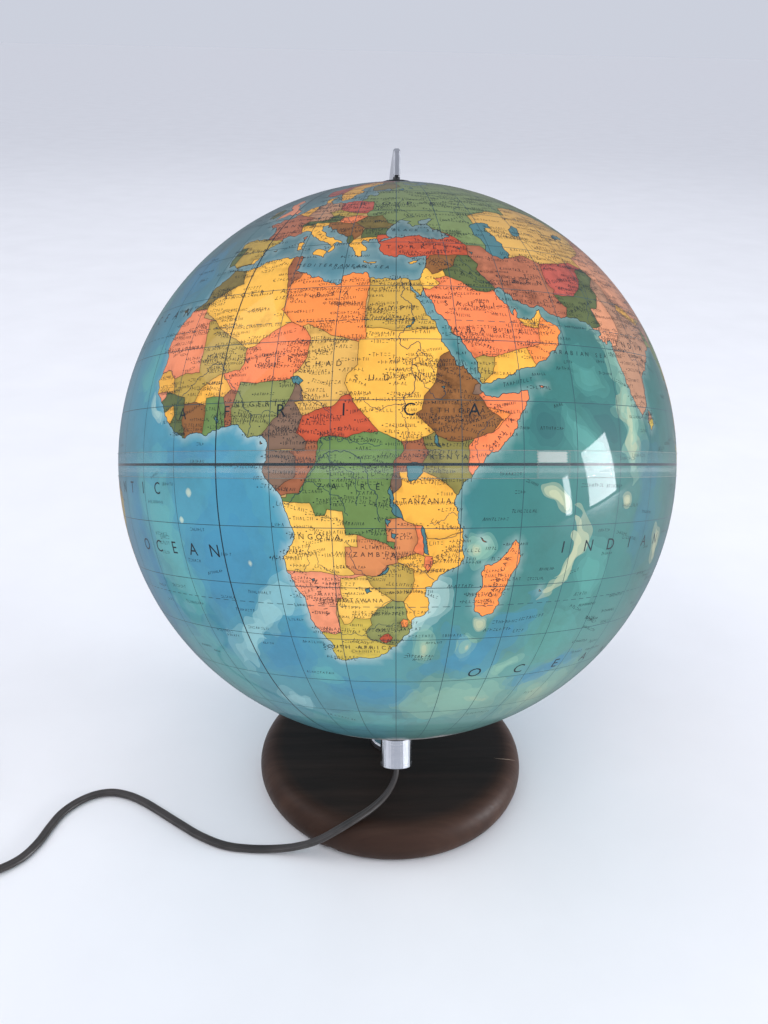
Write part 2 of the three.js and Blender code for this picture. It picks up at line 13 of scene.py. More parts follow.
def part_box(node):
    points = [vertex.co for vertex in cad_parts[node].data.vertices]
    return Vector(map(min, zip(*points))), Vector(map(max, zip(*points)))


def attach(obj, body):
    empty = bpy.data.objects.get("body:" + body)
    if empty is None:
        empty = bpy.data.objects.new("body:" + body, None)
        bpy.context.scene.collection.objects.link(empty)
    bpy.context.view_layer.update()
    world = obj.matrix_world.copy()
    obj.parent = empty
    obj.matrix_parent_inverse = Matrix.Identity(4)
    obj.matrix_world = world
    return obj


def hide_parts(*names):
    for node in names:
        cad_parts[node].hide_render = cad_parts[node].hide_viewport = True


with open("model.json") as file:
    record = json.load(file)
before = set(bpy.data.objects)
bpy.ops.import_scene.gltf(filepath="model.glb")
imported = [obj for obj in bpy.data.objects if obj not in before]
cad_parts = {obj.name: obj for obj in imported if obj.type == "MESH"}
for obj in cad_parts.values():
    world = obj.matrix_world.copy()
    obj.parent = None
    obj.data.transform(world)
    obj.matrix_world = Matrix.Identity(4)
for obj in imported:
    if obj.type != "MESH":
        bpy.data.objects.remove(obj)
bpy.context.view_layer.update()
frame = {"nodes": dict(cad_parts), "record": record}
MM = 0.001

# ---- the globe's frame ----
GLOBE_CENTRE = Vector((0, 18, 202)) * MM
GLOBE_RADIUS = 150 * MM
SHELL = 2 * MM
TILT = math.radians(23.5)
POLAR = Matrix.Rotation(-TILT, 3, "X")
FRONT_LONGITUDE = 33.5
EQUATOR_GAP = 0.057
NORTH_RIM = 87.6
SOUTH_RIM = -85.4
SEAM_WEST, SEAM_EAST = -169, 191
STRETCH, STRETCH_CENTRE = 1.7, 38


def stretch(lon):
    """The printed map is stretched a little, away from one meridian."""
    return lon + STRETCH * math.sin(math.radians(lon - STRETCH_CENTRE))


def direction(lon, lat):
    """The outward direction at a place on the globe, from its longitude on the sphere."""
    a, b = math.radians(lon - FRONT_LONGITUDE), math.radians(lat)
    return POLAR @ Vector((math.cos(b) * math.sin(a), -math.cos(b) * math.cos(a), math.sin(b)))


def linear(rgb):
    """0 to 255 display colour to linear."""
    return tuple(c / 12.92 if c <= 0.04045 else ((c + 0.055) / 1.055) ** 2.4 for c in (v / 255 for v in rgb))


# ---- camera ----
CAMERA_PLACE = Vector((-34.1, -469.6, 413.5)) * MM
CAMERA_RIGHT = Vector((0.9987, -0.0469, 0.0201))
CAMERA_UP = Vector((0.0027, 0.443, 0.8965))
CAMERA_LENS, SENSOR_WIDTH = 33.4, 36

camera = bpy.data.objects.new("camera", bpy.data.cameras.new("camera"))
camera.data.lens = CAMERA_LENS
camera.data.sensor_width = SENSOR_WIDTH
camera.data.clip_start = 0.01
back = CAMERA_RIGHT.cross(CAMERA_UP).normalized()
right = CAMERA_UP.cross(back).normalized()
camera_turn = Matrix((right, back.cross(right), back)).transposed().to_4x4()
camera.matrix_world = Matrix.Translation(CAMERA_PLACE) @ camera_turn
bpy.context.collection.objects.link(camera)
bpy.context.scene.camera = camera
bpy.context.scene.view_settings.view_transform = "Standard"


# ---- materials ----
class Look:
    """One procedural material."""

    def __init__(self, name, **values):
        self.material = bpy.data.materials.new(name)
        self.material.use_nodes = True
        self.nodes = self.material.node_tree.nodes
        self.shader = self.nodes["Principled BSDF"]
        for socket, value in values.items():
            self.shader.inputs[socket.replace("_", " ")].default_value = value

    def node(self, kind, **settings):
        made = self.nodes.new("ShaderNode" + kind)
        for key, value in settings.items():
            if hasattr(made, key):
                setattr(made, key, value)
            else:
                made.inputs[key.replace("_", " ")].default_value = value
        return made

    def link(self, out, into):
        self.material.node_tree.links.new(out, into)

    def place(self, scale=(1, 1, 1), turn=(0, 0, 0)):
        """Object coordinates, stretched and turned."""
        coordinates = self.node("TexCoord")
        mapping = self.node("Mapping")
        mapping.inputs["Scale"].default_value = scale
        mapping.inputs["Rotation"].default_value = turn
        self.link(coordinates.outputs["Object"], mapping.inputs["Vector"])
        return mapping.outputs["Vector"]

    def noise(self, scale, detail=4, stretch=(1, 1, 1), turn=(0, 0, 0), rough=0.55):
        made = self.node("TexNoise", Scale=scale, Detail=detail, Roughness=rough)
        self.link(self.place(stretch, turn), made.inputs["Vector"])
        return made.outputs["Fac"]

    def ramp(self, factor, *stops):
        """Stops are (place, colour) with linear colours, or (place, value)."""
        made = self.node("ValToRGB")
        elements = made.color_ramp.elements
        while len(elements) < len(stops):
            elements.new(0.5)
        for element, (place, colour) in zip(elements, stops):
            element.position = place
            element.color = (*colour, 1) if isinstance(colour, tuple) else (colour, colour, colour, 1)
        self.link(factor, made.inputs["Fac"])
        return made.outputs["Color"]

    def mix(self, factor, a, b, blend="MIX"):
        """Two colours mixed, by another node's output or by a number."""
        made = self.node("Mix", data_type="RGBA", blend_type=blend)
        if isinstance(factor, (int, float)):
            made.inputs["Factor"].default_value = factor
        else:
            self.link(factor, made.inputs["Factor"])
        self.link(a, made.inputs["A"])
        self.link(b, made.inputs["B"])
        return made.outputs["Result"]

    def bump(self, height, strength, distance):
        made = self.node("Bump", Strength=strength, Distance=distance)
        self.link(height, made.inputs["Height"])
        self.link(made.outputs["Normal"], self.shader.inputs["Normal"])
        return self

    def colour(self, out):
        self.link(out, self.shader.inputs["Base Color"])
        return self

    def roughness(self, factor, low, high):
        self.link(self.ramp(factor, (0.3, low), (0.7, high)), self.shader.inputs["Roughness"])
        return self


def plain_look(name, colour, scale=220, contrast=0.12, bump=0.12, depth=0.0002, **values):
    """A finish with a slight mottle and grain over its own colour."""
    look = Look(name, **values)
    low = tuple(c * (1 - contrast) for c in colour)
    high = tuple(min(1, c * (1 + contrast)) for c in colour)
    look.colour(look.ramp(look.noise(scale * 0.35), (0.3, low), (0.7, high)))
    rough = look.shader.inputs["Roughness"].default_value
    look.roughness(look.noise(scale * 0.6), rough * 0.85, min(1, rough * 1.15))
    return look.bump(look.noise(scale * 8, 3), bump, depth)


WOOD_TURN = (0, 0, 0.35)
# The flat top's colours, painted darker as painted shade, then the shoulder's colours, painted lighter and
# redder as a painted highlight.
SHADED_TOP_WOOD = (
    (0.34, (0.0095, 0.0066, 0.0056)),
    (0.5, (0.0135, 0.0092, 0.0076)),
    (0.68, (0.0195, 0.013, 0.0104)),
)
LIT_SHOULDER_WOOD = ((0.3, (0.03, 0.0145, 0.0095)), (0.5, (0.042, 0.0205, 0.0135)), (0.7, (0.058, 0.029, 0.019)))
# Where the shoulder's painted highlight begins and where it is full, as the distance from the axis in
# metres.
SHOULDER_LIGHT_FROM, SHOULDER_FULLY_LIT = 0.066, 0.077


def wood_look():
    """Dark stained wood. Its flat top is painted darker as painted shade, and its turned shoulder is painted
    lighter and redder as a painted highlight.
    """
    look = Look("stained_wood", Coat_Weight=0.03, Coat_Roughness=0.5, Specular_IOR_Level=0.15)
    streaks = look.noise(9, 8, (1, 14, 5), WOOD_TURN, 0.62)
    reach = look.node("VectorMath", operation="LENGTH")
    look.link(look.place((1, 1, 0)), reach.inputs[0])
    # Blends the top's painted shade into the shoulder's painted highlight, by distance from the axis.
    shoulder = look.ramp(reach.outputs["Value"], (SHOULDER_LIGHT_FROM, 0.0), (SHOULDER_FULLY_LIT, 1.0))
    look.colour(look.mix(shoulder, look.ramp(streaks, *SHADED_TOP_WOOD), look.ramp(streaks, *LIT_SHOULDER_WOOD)))
    look.roughness(look.noise(60, 5, (1, 10, 4)), 0.42, 0.56)
    return look.bump(look.noise(120, 6, (1, 16, 6), WOOD_TURN), 0.1, 0.0003)


def metal_look(name, colour, rough, stretch=(1, 1, 1), turn=(0, 0, 0), scale=300, bump=0.08):
    """Metal with fine lines left by its finishing."""
    look = Look(name, Metallic=1)
    lines = look.noise(scale, 5, stretch, turn)
    dull = tuple(c * 0.86 for c in colour)
    look.colour(look.ramp(look.noise(40, 3), (0.3, dull), (0.7, colour)))
    look.roughness(lines, rough * 0.8, rough * 1.2)
    return look.bump(lines, bump, 0.0002)


def glass_look():
    """Frosted lamp glass."""
    look = Look("lamp_glass", Base_Color=(0.96, 0.93, 0.86, 1), Transmission_Weight=0.9)
    look.roughness(look.noise(500), 0.4, 0.52)
    return look.bump(look.noise(2600, 2), 0.15, 0.0001)


BLACK = (0.014, 0.014, 0.016)
GROOVED = {"stretch": (0.4, 0.4, 26), "turn": (TILT, 0, 0), "scale": 60, "bump": 0.22}
LOOKS = {
    "stained_wood": wood_look(),
    "felt": plain_look("felt", (0.03, 0.075, 0.05), 600, 0.35, 0.9, 0.0006, Roughness=1.0, Sheen_Weight=0.4),
    "cast_aluminium": metal_look("cast_aluminium", (0.45, 0.46, 0.49), 0.34, (1, 5, 5), scale=240),
    "turned_aluminium": metal_look("turned_aluminium", (0.72, 0.74, 0.78), 0.15, **GROOVED),
    "steel": metal_look("steel", (0.6, 0.6, 0.62), 0.24, (1, 1, 8), scale=160),
    "brass": metal_look("brass", (0.72, 0.5, 0.2), 0.28, (1, 1, 8), scale=160),
    "black_plastic": plain_look("black_plastic", BLACK, 260, 0.25, 0.1, 0.0001, Roughness=0.36),
    "white_plastic": plain_look("white_plastic", (0.76, 0.74, 0.68), 200, Roughness=0.4),
    "ceramic": plain_look("ceramic", (0.78, 0.74, 0.64), 180, 0.06, Roughness=0.25, Coat_Weight=0.5),
    "lamp_glass": glass_look(),
    "flex": plain_look("flex", (0.034, 0.029, 0.027), 420, 0.25, 0.2, 0.0002, Roughness=0.42),
}

for row in frame["record"]["subparts"]:
    if row["material_slot"] in LOOKS:
        for place in frame["nodes"][row["node"]].material_slots:
            place.material = LOOKS[row["material_slot"]].material


# ---- pieces ----
def piece(name, points, faces, look, body=None, slot=None, normals=None, smooth=True):
    """A mesh from points in metres. It rides on a body when one is given, and stands alone where there is
    none.
    """
    mesh = bpy.data.meshes.new(name)
    mesh.from_pydata([tuple(p) for p in points], [], faces)
    mesh.polygons.foreach_set("use_smooth", [smooth] * len(faces))
    mesh.materials.append(look.material)
    mesh.update()
    if normals is not None:
        mesh.normals_split_custom_set_from_vertices([tuple(n) for n in normals])
    made = bpy.data.objects.new(name, mesh)
    bpy.context.collection.objects.link(made)
    if body:
        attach(made, body)
    return made


def strip_faces(rows, columns, closed_rows=False, closed_columns=False, start=0):
    """Quads between rows of points."""
    faces = []
    for i in range(rows if closed_rows else rows - 1):
        for j in range(columns if closed_columns else columns - 1):
            a, b = start + i * columns, start + (i + 1) % rows * columns
            k = (j + 1) % columns
            faces.append((a + j, b + j, b + k, a + k))
    return faces


def lathe(profile, sides=192, ripple=None):
    """Points and faces of a turned solid.

    Its closed profile is (radius, height) in mm, from the top's middle outwards.
    """
    points = []
    for i in range(sides):
        a = 2 * math.pi * i / sides
        for r, z in profile:
            if ripple:
                r = ripple(a, r, z)
            points.append(Vector((r * math.cos(a), r * math.sin(a), z)) * MM)
    faces = strip_faces(sides, len(profile), closed_rows=True, closed_columns=True)
    return points, [tuple(reversed(f)) for f in faces]


# ---- the flex ----
FLEX_WIDTH, FLEX_THICKNESS, GROOVE_SHARE = 5.2, 2.8, 0.72
LEAD_ROUTE = [
    (0, -49.99, 45.64), (0, -51.3, 42.64), (-0.6, -52.7, 39.2), (-2.2, -54.5, 35.5), (-5.1, -57, 31.5),
    (-9.4, -60.4, 28.5), (-15.4, -65, 26.6), (-23.4, -70.4, 25.2), (-33.4, -74.6, 21.6), (-44.6, -75, 14.4),
    (-56.2, -72.2, 7.4), (-68, -69.4, 3.1), (-83, -67.8, 1.9), (-97.5, -65, 1.9), (-112.5, -57.3, 1.9),
    (-126, -47.2, 1.9), (-139, -37, 1.9), (-149, -29.4, 1.9), (-159, -23.6, 1.9), (-170, -20.4, 1.9),
    (-180, -22.2, 1.9), (-189, -28.2, 1.9), (-196, -37.2, 1.9), (-200, -48, 1.9), (-203.5, -60, 1.9),
    (-210, -71.6, 1.9), (-221, -80, 2.3), (-233, -83.6, 3.8), (-240.4, -84, 5),
]
SWITCH_ROUTE = [(-247, -84, 4.4), (-258, -84, 3.8), (-270, -84, 3.6), (-282, -84, 3.8), (-293, -84, 4.4)]
TAIL_ROUTE = [
    (-299.8, -84, 5), (-306.4, -83.2, 4), (-314.8, -77.6, 2.9), (-320, -68, 2.7), (-322.2, -56, 2.7),
    (-322.3, -40, 2.6),
]
COIL_CENTRE = (-288, -22)
COIL_COLUMNS = (23.1, 28.6, 34.1)
COIL_LAYERS = (2.2, 5.1, 8.0)
COIL_SLOTS = ((2, 0), (1, 0), (0, 0), (0, 1), (1, 1), (2, 1), (2, 2))
COIL_STEPS = 24
COIL_SHIFT = (225, 325)
PLUG_ENTRY = (-322.1, 4, 7)
PLUG_ROUTE = [(-322.1, -22, 8), (-322.1, -9, 7.5), PLUG_ENTRY]
FLEX_UP = (0, 0.917, -0.399)
TWIST_LENGTH = 75


def smoothstep(t):
    t = min(1, max(0, t))
    return t * t * (3 - 2 * t)


def coil_route():
    """The turns, clockwise from the left side, each moving over to the next slot before it is full."""
    route = []
    for turn, (column, layer) in enumerate(COIL_SLOTS):
        after = COIL_SLOTS[min(turn + 1, len(COIL_SLOTS) - 1)]
        for k in range(COIL_STEPS):
            degrees = 360 * k / COIL_STEPS
            t = smoothstep((degrees - COIL_SHIFT[0]) / (COIL_SHIFT[1] - COIL_SHIFT[0]))
            r = COIL_COLUMNS[column] * (1 - t) + COIL_COLUMNS[after[0]] * t
            z = COIL_LAYERS[layer] * (1 - t) + COIL_LAYERS[after[1]] * t
            a = math.pi - math.radians(degrees)
            route.append((COIL_CENTRE[0] + r * math.cos(a), COIL_CENTRE[1] + r * math.sin(a), z))
    return route


def smooth_curve(route, step=1.5):
    """A centripetal curve through the route's points, sampled about every step."""
    p = [Vector(q) for q in route]
    p = [2 * p[0] - p[1]] + p + [2 * p[-1] - p[-2]]
    out = []
    for i in range(1, len(p) - 2):
        knots = [0.0]
        for a, b in zip(p[i - 1 : i + 2], p[i : i + 3]):
            knots.append(knots[-1] + (b - a).length ** 0.5)
        t0, t1, t2, t3 = knots
        count = max(2, round((p[i + 1] - p[i]).length / step))
        for k in range(count):
            t = t1 + (t2 - t1) * k / count
            a1 = p[i - 1].lerp(p[i], (t - t0) / (t1 - t0))
            a2 = p[i].lerp(p[i + 1], (t - t1) / (t2 - t1))
            a3 = p[i + 1].lerp(p[i + 2], (t - t2) / (t3 - t2))
            b1 = a1.lerp(a2, (t - t0) / (t2 - t0))
            b2 = a2.lerp(a3, (t - t1) / (t3 - t1))
            out.append(b1.lerp(b2, (t - t1) / (t2 - t1)))
    return out + [p[-2]]


def flex_section():
    """Two cores side by side with a groove between them, as (across, up) in mm."""
    radius, groove = FLEX_THICKNESS / 2, FLEX_THICKNESS / 2 * GROOVE_SHARE
    core = FLEX_WIDTH / 2 - radius
    angles = [math.radians(-100 + 20 * k) for k in range(11)]
    side = [(core + radius * math.cos(a), radius * math.sin(a)) for a in angles]
    return [(0, -groove)] + side + [(0, groove)] + [(-x, y) for x, y in reversed(side)]


def build_flex():
    """One flat flex from the pole socket to the plug. It turns flat over its first stretch."""
    line = smooth_curve(LEAD_ROUTE + SWITCH_ROUTE + TAIL_ROUTE + coil_route() + PLUG_ROUTE)
    section = flex_section()
    points, run = [], 0
    for i, p in enumerate(line):
        along = (line[min(i + 1, len(line) - 1)] - line[max(i - 1, 0)]).normalized()
        run += (p - line[i - 1]).length if i else 0
        level = along.cross(Vector((0, 0, 1))).normalized()
        wide = Vector(FLEX_UP).lerp(level, smoothstep(run / TWIST_LENGTH))
        wide = (wide - along * wide.dot(along)).normalized()
        up = wide.cross(along).normalized()
        points += [(p + wide * x + up * y) * MM for x, y in section]
    faces = strip_faces(len(line), len(section), closed_columns=True)
    n = len(section)
    faces += [tuple(range(n)), tuple(reversed(range(len(points) - n, len(points))))]
    flex = piece("flat_flex", points, faces, LOOKS["flex"], "stand", "flex")
    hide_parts("flex_lead", "flex_tail", "flex_coil")


build_flex()


# ---- the map's shapes, as longitude,latitude pairs in degrees ----

LAND = {
    "africa": """-5.9,35.8 -5.3,35.9 -2.9,35.3 -0.6,35.8 3,36.9 7.8,37 9.9,37.3 11,37.1 10.6,35.8 10.7,34.6
    10.1,33.9 11,33.6 13.2,32.9 15.2,32.4 16.6,31.2 19,30.3 20,30.9 20.1,32.2 21.8,32.9 23,32.7 25.2,31.6
    27.3,31.3 29.9,31.1 31.8,31.5 32.5,31.1 32.5,29.9 33.8,27.2 34.9,25 35.8,23.9 36.7,22.2 37.2,21
    37.3,19.6 38.5,18.1 39.5,15.6 41.2,14.6 42.8,13 43.3,12.5 43.2,11.6 43.9,10.8 45,10.5 47,11.2 49,11.3
    51.2,11.8 51.3,10.4 50.8,9.4 49.8,8 49,6.5 48,4.5 46.5,3 45.3,2 43.5,0.6 42.5,-0.4 41.6,-1.7 40.9,-2.3
    40.2,-2.8 39.7,-4 39.1,-5.1 38.8,-6 39.3,-6.8 39.5,-8 39.6,-9.2 40.4,-10.4 40.6,-12 40.5,-13.5 40.8,-15
    39.9,-16.3 38,-17.2 36.9,-18 36.2,-18.9 34.8,-19.9 34.9,-20.8 35.4,-21.8 35.5,-23.6 35,-24.7 33.5,-25.3
    32.7,-25.9 32.8,-27 32.3,-28.6 31,-29.9 30.2,-31.2 27.9,-33 25.7,-34 24.9,-34.1 22.1,-34.1 20,-34.8
    18.8,-34.4 18.4,-34.3 18.3,-33.6 17.9,-32.7 18.2,-31.7 17.2,-30 16.5,-28.6 15.7,-27.8 15.1,-26.6
    14.8,-25.3 14.5,-22.9 13.6,-21 12.6,-18.8 11.8,-17.3 11.8,-16 12.4,-14 13.4,-12.5 13.8,-11 13.2,-9
    13,-8.3 12.3,-6.2 12.2,-5.8 11.8,-4.7 11,-3.8 9.7,-2.4 8.8,-0.7 9.4,0.4 9.6,1.5 9.8,3 9.5,3.9 8.9,4.5
    8.3,4.6 6.1,4.3 5.3,5.2 4.4,6.3 3.4,6.4 1.2,6.1 -0.2,5.5 -2.1,4.7 -4,5.2 -5.5,5.1 -7.7,4.4 -9.2,5.4
    -10.8,6.3 -12.4,7.4 -13.2,8.4 -13.7,9.5 -15,10.8 -16,11.9 -16.8,12.5 -16.6,13.5 -17.5,14.7 -16.5,16
    -16,18 -16.1,19.3 -17,20.9 -16.9,22 -15.9,23.8 -14.9,25.6 -14.4,26.2 -13.2,27.7 -11.4,28.6 -10.1,29.5
    -9.7,30.5 -9.8,31.5 -9.2,32.4 -7.6,33.6 -6.8,34.1""",
    "eurasia": """32.5,31.1 34,31.2 34.5,31.6 35,32.8 35.5,33.9 35.8,35.5 36.2,36.6 35.4,36.6 34,36.3
    32.8,36.1 31.8,36.6 30.6,36.8 29.7,36.2 28.2,36.7 27.4,37.1 26.5,38.4 26.8,39.3 26.2,39.9 27.5,40.4
    29,41 31.3,41.2 35,42 36.4,41.3 39.7,41 41.6,41.6 39.8,43.5 37.5,44.7 36.8,45.3 38,46.3 39.2,47.1
    37,46.8 35.2,46.2 35.1,45.5 36.4,45.3 35,44.9 33.7,44.4 32.6,45.4 33.5,46.1 31.2,46.6 30.7,46.4
    29.7,45.2 28.7,44.2 28,43.2 27.7,42.4 28.1,41.6 29,41.2 28.2,41 27,40.6 26.2,40.1 26,40.8 24.4,40.9
    24.2,40.1 22.9,40.5 22.7,39.9 23.2,39.2 24,38.2 23.8,37.8 23,37.9 22.9,37.4 23.1,36.5 22.4,36.5
    21.7,36.9 21.4,37.9 21,38.8 20.1,39.5 19.4,40.5 19.4,41.5 18.5,42.4 16.5,43.5 15.1,44.2 14.5,45.2
    13.8,44.8 13.7,45.7 12.3,45.4 12.5,44.2 13.6,43.6 14.2,42.4 16.1,41.9 16.9,41.1 18.4,40.2 17.1,40.5
    16.6,39.8 17.1,39 16.1,37.9 15.7,38 16.1,38.8 15.8,39.9 14.3,40.8 13,41.3 12.2,41.9 11.1,42.4 10.4,43.2
    9.8,44.1 8.9,44.4 7.3,43.7 6,43.1 5,43.4 4,43.5 3.1,43 3.2,42.3 2.2,41.4 0.8,40.7 -0.3,39.4 0.2,38.8
    -0.6,38 -0.8,37.6 -2.1,36.7 -4.4,36.7 -5.4,36.1 -6.3,36.6 -7,37.2 -8.8,37 -9.4,38.7 -8.8,41.2 -8.9,42.2
    -9.2,43.1 -7.9,43.8 -3.8,43.5 -1.6,43.4 -1.2,44.8 -1.2,46 -2.2,47.2 -4.6,48 -4.7,48.5 -2,48.7 -1.8,49.7
    0.1,49.5 1.7,50.8 3.5,51.4 4.7,52.9 6.9,53.5 8.6,53.9 8.2,55.5 8.3,56.8 10.6,57.7 10.3,56.5 9.6,55.4
    10.9,54 13.4,54.5 14.3,53.9 18.6,54.5 19.8,54.5 21,55.3 21,56.6 21.6,57.5 24,57 24.4,58.3 23.4,59.1
    24.8,59.5 28,59.6 30.2,59.9 25,60.2 22.9,59.9 21.5,60.7 21.4,63 25.2,65 24.2,65.8 22.2,65.5 20.4,63.7
    17.9,62.6 17.2,60.7 18.8,60.1 18.5,59.2 16.8,58.2 16.4,56.6 14.3,55.5 12.9,55.5 11.8,57.8 10.7,59.3
    9.6,58.9 8,58.1 5.6,58.9 5,60.5 5.1,62 8.5,63.5 11,64.8 13.5,67 18.5,69.6 25.7,71.1 31,70.3 33.5,69.4
    41,67.5 40,66.3 33,66.8 34.8,64.8 38,64 40.3,64.7 44,66.1 43.8,68.3 46,68 48,67.6 53.8,68.7 59,68.6
    60.6,69.8 65,69.2 67,68.8 66.8,71.2 69.2,72.8 72.8,72.5 72,69 73.5,68 74.5,70 73,71.4 75.5,72.5
    80.5,73.6 87,75 98,76.2 104.3,77.7 113,76 113.5,73.8 123,73 129.5,71 139,72.4 150,71.5 160,69.7 170,69.8
    180,69 190,66.1 187,64.4 178.5,64.6 177.5,62.5 170.5,60 163,58 162,56 160,53 156.7,51 155.7,53.5 156,57
    160,60.5 163.5,62.5 156,61.6 150.5,59.5 142.5,59.2 135.2,54.7 141,53.2 140.5,50 139,47.3 135,43.4
    131.9,43 129.7,41.5 127.5,39.8 129.4,37 129.2,35.2 126.4,34.4 126.6,37 125,38 124.9,39.7 121.3,38.8
    122,40.6 118,39.1 119.2,37.2 122.5,37.2 119.3,34.9 121.8,31 121.7,28.5 119.6,25.6 114.3,22.4 110.5,21.2
    108.5,21.7 106.5,20 105.7,18.8 108.3,16 109.3,12.5 107,10.4 105,8.6 104.8,10 102.5,12.1 100.6,13.4
    99.9,11.8 99.3,9.3 100.5,7.2 102.3,6.2 103.4,4 104.2,1.4 101.3,3 100.3,5.6 98.3,8 98.7,10.5 97.7,15.8
    96,16.4 94.3,16 94.5,18.5 92.3,20.8 91.8,22.4 88.5,21.7 87,21.3 85.8,19.8 83.3,17.7 80.3,15.5 80.3,13.2
    79.8,10.3 78.2,8.9 77.5,8.1 76.2,10 74.8,12.9 73.8,15.5 72.8,19 72.7,21 72.3,21.8 71,20.8 69.2,22.2
    70.3,22.9 68.4,23.5 66.9,24.8 65,25.3 61.8,25.1 58.5,25.6 57.2,26.9 56.2,27.1 54.5,26.6 51.5,27.8
    50.8,29 49.5,30.1 48.5,30 48,29.4 48.8,27.7 50.1,26.6 50.3,25.4 50.8,24.8 50.8,25.6 51.2,26.1 51.6,25.2
    51.3,24.4 52.5,24.2 54.2,24.2 55.3,25.3 56.3,26.3 56.4,24.9 58.6,23.6 59.8,22.5 58.7,20.5 57.8,18.9
    56.3,17.9 55,17 52.2,15.6 49,14.4 47.4,13.6 45,12.8 43.5,12.7 43.2,13.5 42.9,14.9 42.6,16.8 41,19.2
    39.1,21.4 38.4,23.5 36.6,25.8 35.2,28 34.95,29.5 34.25,27.8 32.6,29.9""",
    "madagascar": """49.3,-12 50.3,-14.5 50.4,-15.8 49.5,-17.5 48.5,-20.5 47.2,-24.8 45.2,-25.5 43.9,-24.6
    43.3,-22.2 44.3,-20.2 44,-17.8 44.4,-16.2 46.3,-15.8 47.9,-14.3""",
    "britain": """-5.5,50.1 1.3,51.2 1.6,52.7 0.1,53.3 -1.5,55.2 -3,56 -2,57.6 -4.3,58.6 -6.2,56.7 -4.8,55
    -3,54 -5,52""",
    "ireland": "-6.2,52.3 -6,54.5 -8,55.3 -10,54 -9.7,51.7",
    "iceland": "-24,65.5 -22.5,63.9 -18.7,63.4 -13.7,65 -16,66.5 -20,66",
    "sicily": "12.5,38 15.5,38.2 15.2,36.7 12.8,37.5",
    "sardinia": "8.2,40.9 9.7,40.9 9.6,39.2 8.5,39",
    "corsica": "8.6,42.4 9.5,42.9 9.3,41.4",
    "crete": "23.6,35.5 26.2,35.2 25.2,34.9 23.7,35.1",
    "cyprus": "32.3,35 34.5,35.6 33.7,34.9 32.7,34.6",
    "majorca": "2.4,39.5 3.3,39.8 3.1,39.3",
    "canary": "-16.8,28.3 -16.2,28.5 -15.4,28.1 -16.4,27.9",
    "socotra": "53.3,12.6 54.5,12.5 53.8,12.3",
    "comoro": "43.3,-11.5 44.4,-12.3 43.8,-12.2",
    "reunion": "55.3,-20.9 55.8,-21.3 55.3,-21.3",
    "ceylon": "79.9,9.7 81.2,8.6 81.8,7 80.7,6 79.8,7.2",
    "fernando": "8.5,3.7 8.9,3.3 8.5,3.2",
    "novaya": "52,71 57,70.6 60,74.5 68.5,76.8 60,76.2 55,73.5",
    "svalbard": "11,79 16,76.7 24,78 25,80.2 15,80",
    "taiwan": "121.5,25.2 120.8,22 120.2,23.5",
    "hainan": "108.7,19.2 110.6,20.1 110.4,18.6",
    "sakhalin": "142,54 143.5,52 143.4,46.5 142,46 142,50",
    "hokkaido": "140,42 141.5,45.4 145.3,43.4 143,42.2",
    "honshu": """130.9,34 132.7,35.4 136,35.7 137.2,37.4 139.5,38.3 140,41 141.5,41.2 142,39.4 140.8,36
    139,34.8 135.8,33.5""",
    "kyushu": "129.7,33.3 131.6,33.5 131.3,31.4 130.2,31.3",
    "luzon": "120.4,16 121,18.6 122.3,18.2 121.6,16 124,12.7 120.7,13.8",
    "mindanao": "122,7 124,8.5 125.5,9.7 126.3,7.3 125.3,5.7",
    "borneo": "109,1.5 111.3,2.5 113.5,3.4 116.8,7 119.2,5.2 117.8,1 116.4,-3.8 113.8,-3.3 110.2,-2.8",
    "sumatra": "95.3,5.6 98.5,3.9 103.6,-1 106,-3.3 105.7,-5.9 102.2,-4 98.8,1.6",
    "java": "105.3,-6.8 108.5,-6.6 114.4,-7.8 114.3,-8.7 108,-7.8",
    "celebes": "119,-5.5 119.6,-1 120.5,1 124.9,1.6 121,0.3 123.3,-1 121.2,-2 122.5,-5.3 120.8,-3",
    "new_guinea": """131,-0.8 134,-0.9 135,-3.3 138,-1.7 144.5,-4 147.5,-6.2 150.7,-10.4 147,-9.6 143.2,-8.5
    138,-8.3 136,-4.5 132,-3.8""",
    "australia": """114,-22 113.5,-26 115.7,-31.5 115,-34.3 118,-35 124,-33.2 129,-31.7 134,-32.7 136,-35
    138,-33 138.3,-35.5 140.8,-38 146.3,-39 150,-37.3 151.5,-33 153.5,-28.5 152.8,-25 149,-21 146,-19
    145.3,-15 142.5,-10.8 141.6,-13.5 140.8,-17.5 136,-15.5 136.8,-12.2 132.5,-11.3 130.5,-12.5 129.5,-15
    126,-14 122.2,-18 119,-20""",
    "tasmania": "144.8,-40.8 148.2,-40.9 147.8,-43.2 146,-43.4",
    "zealand_north": "172.8,-34.5 175.5,-36.8 178.4,-37.7 175.3,-41.5 173.8,-39.3 174.8,-37.5",
    "zealand_south": "172.8,-40.6 174.2,-41.7 171,-44.7 169,-46.6 166.6,-46 170.5,-43",
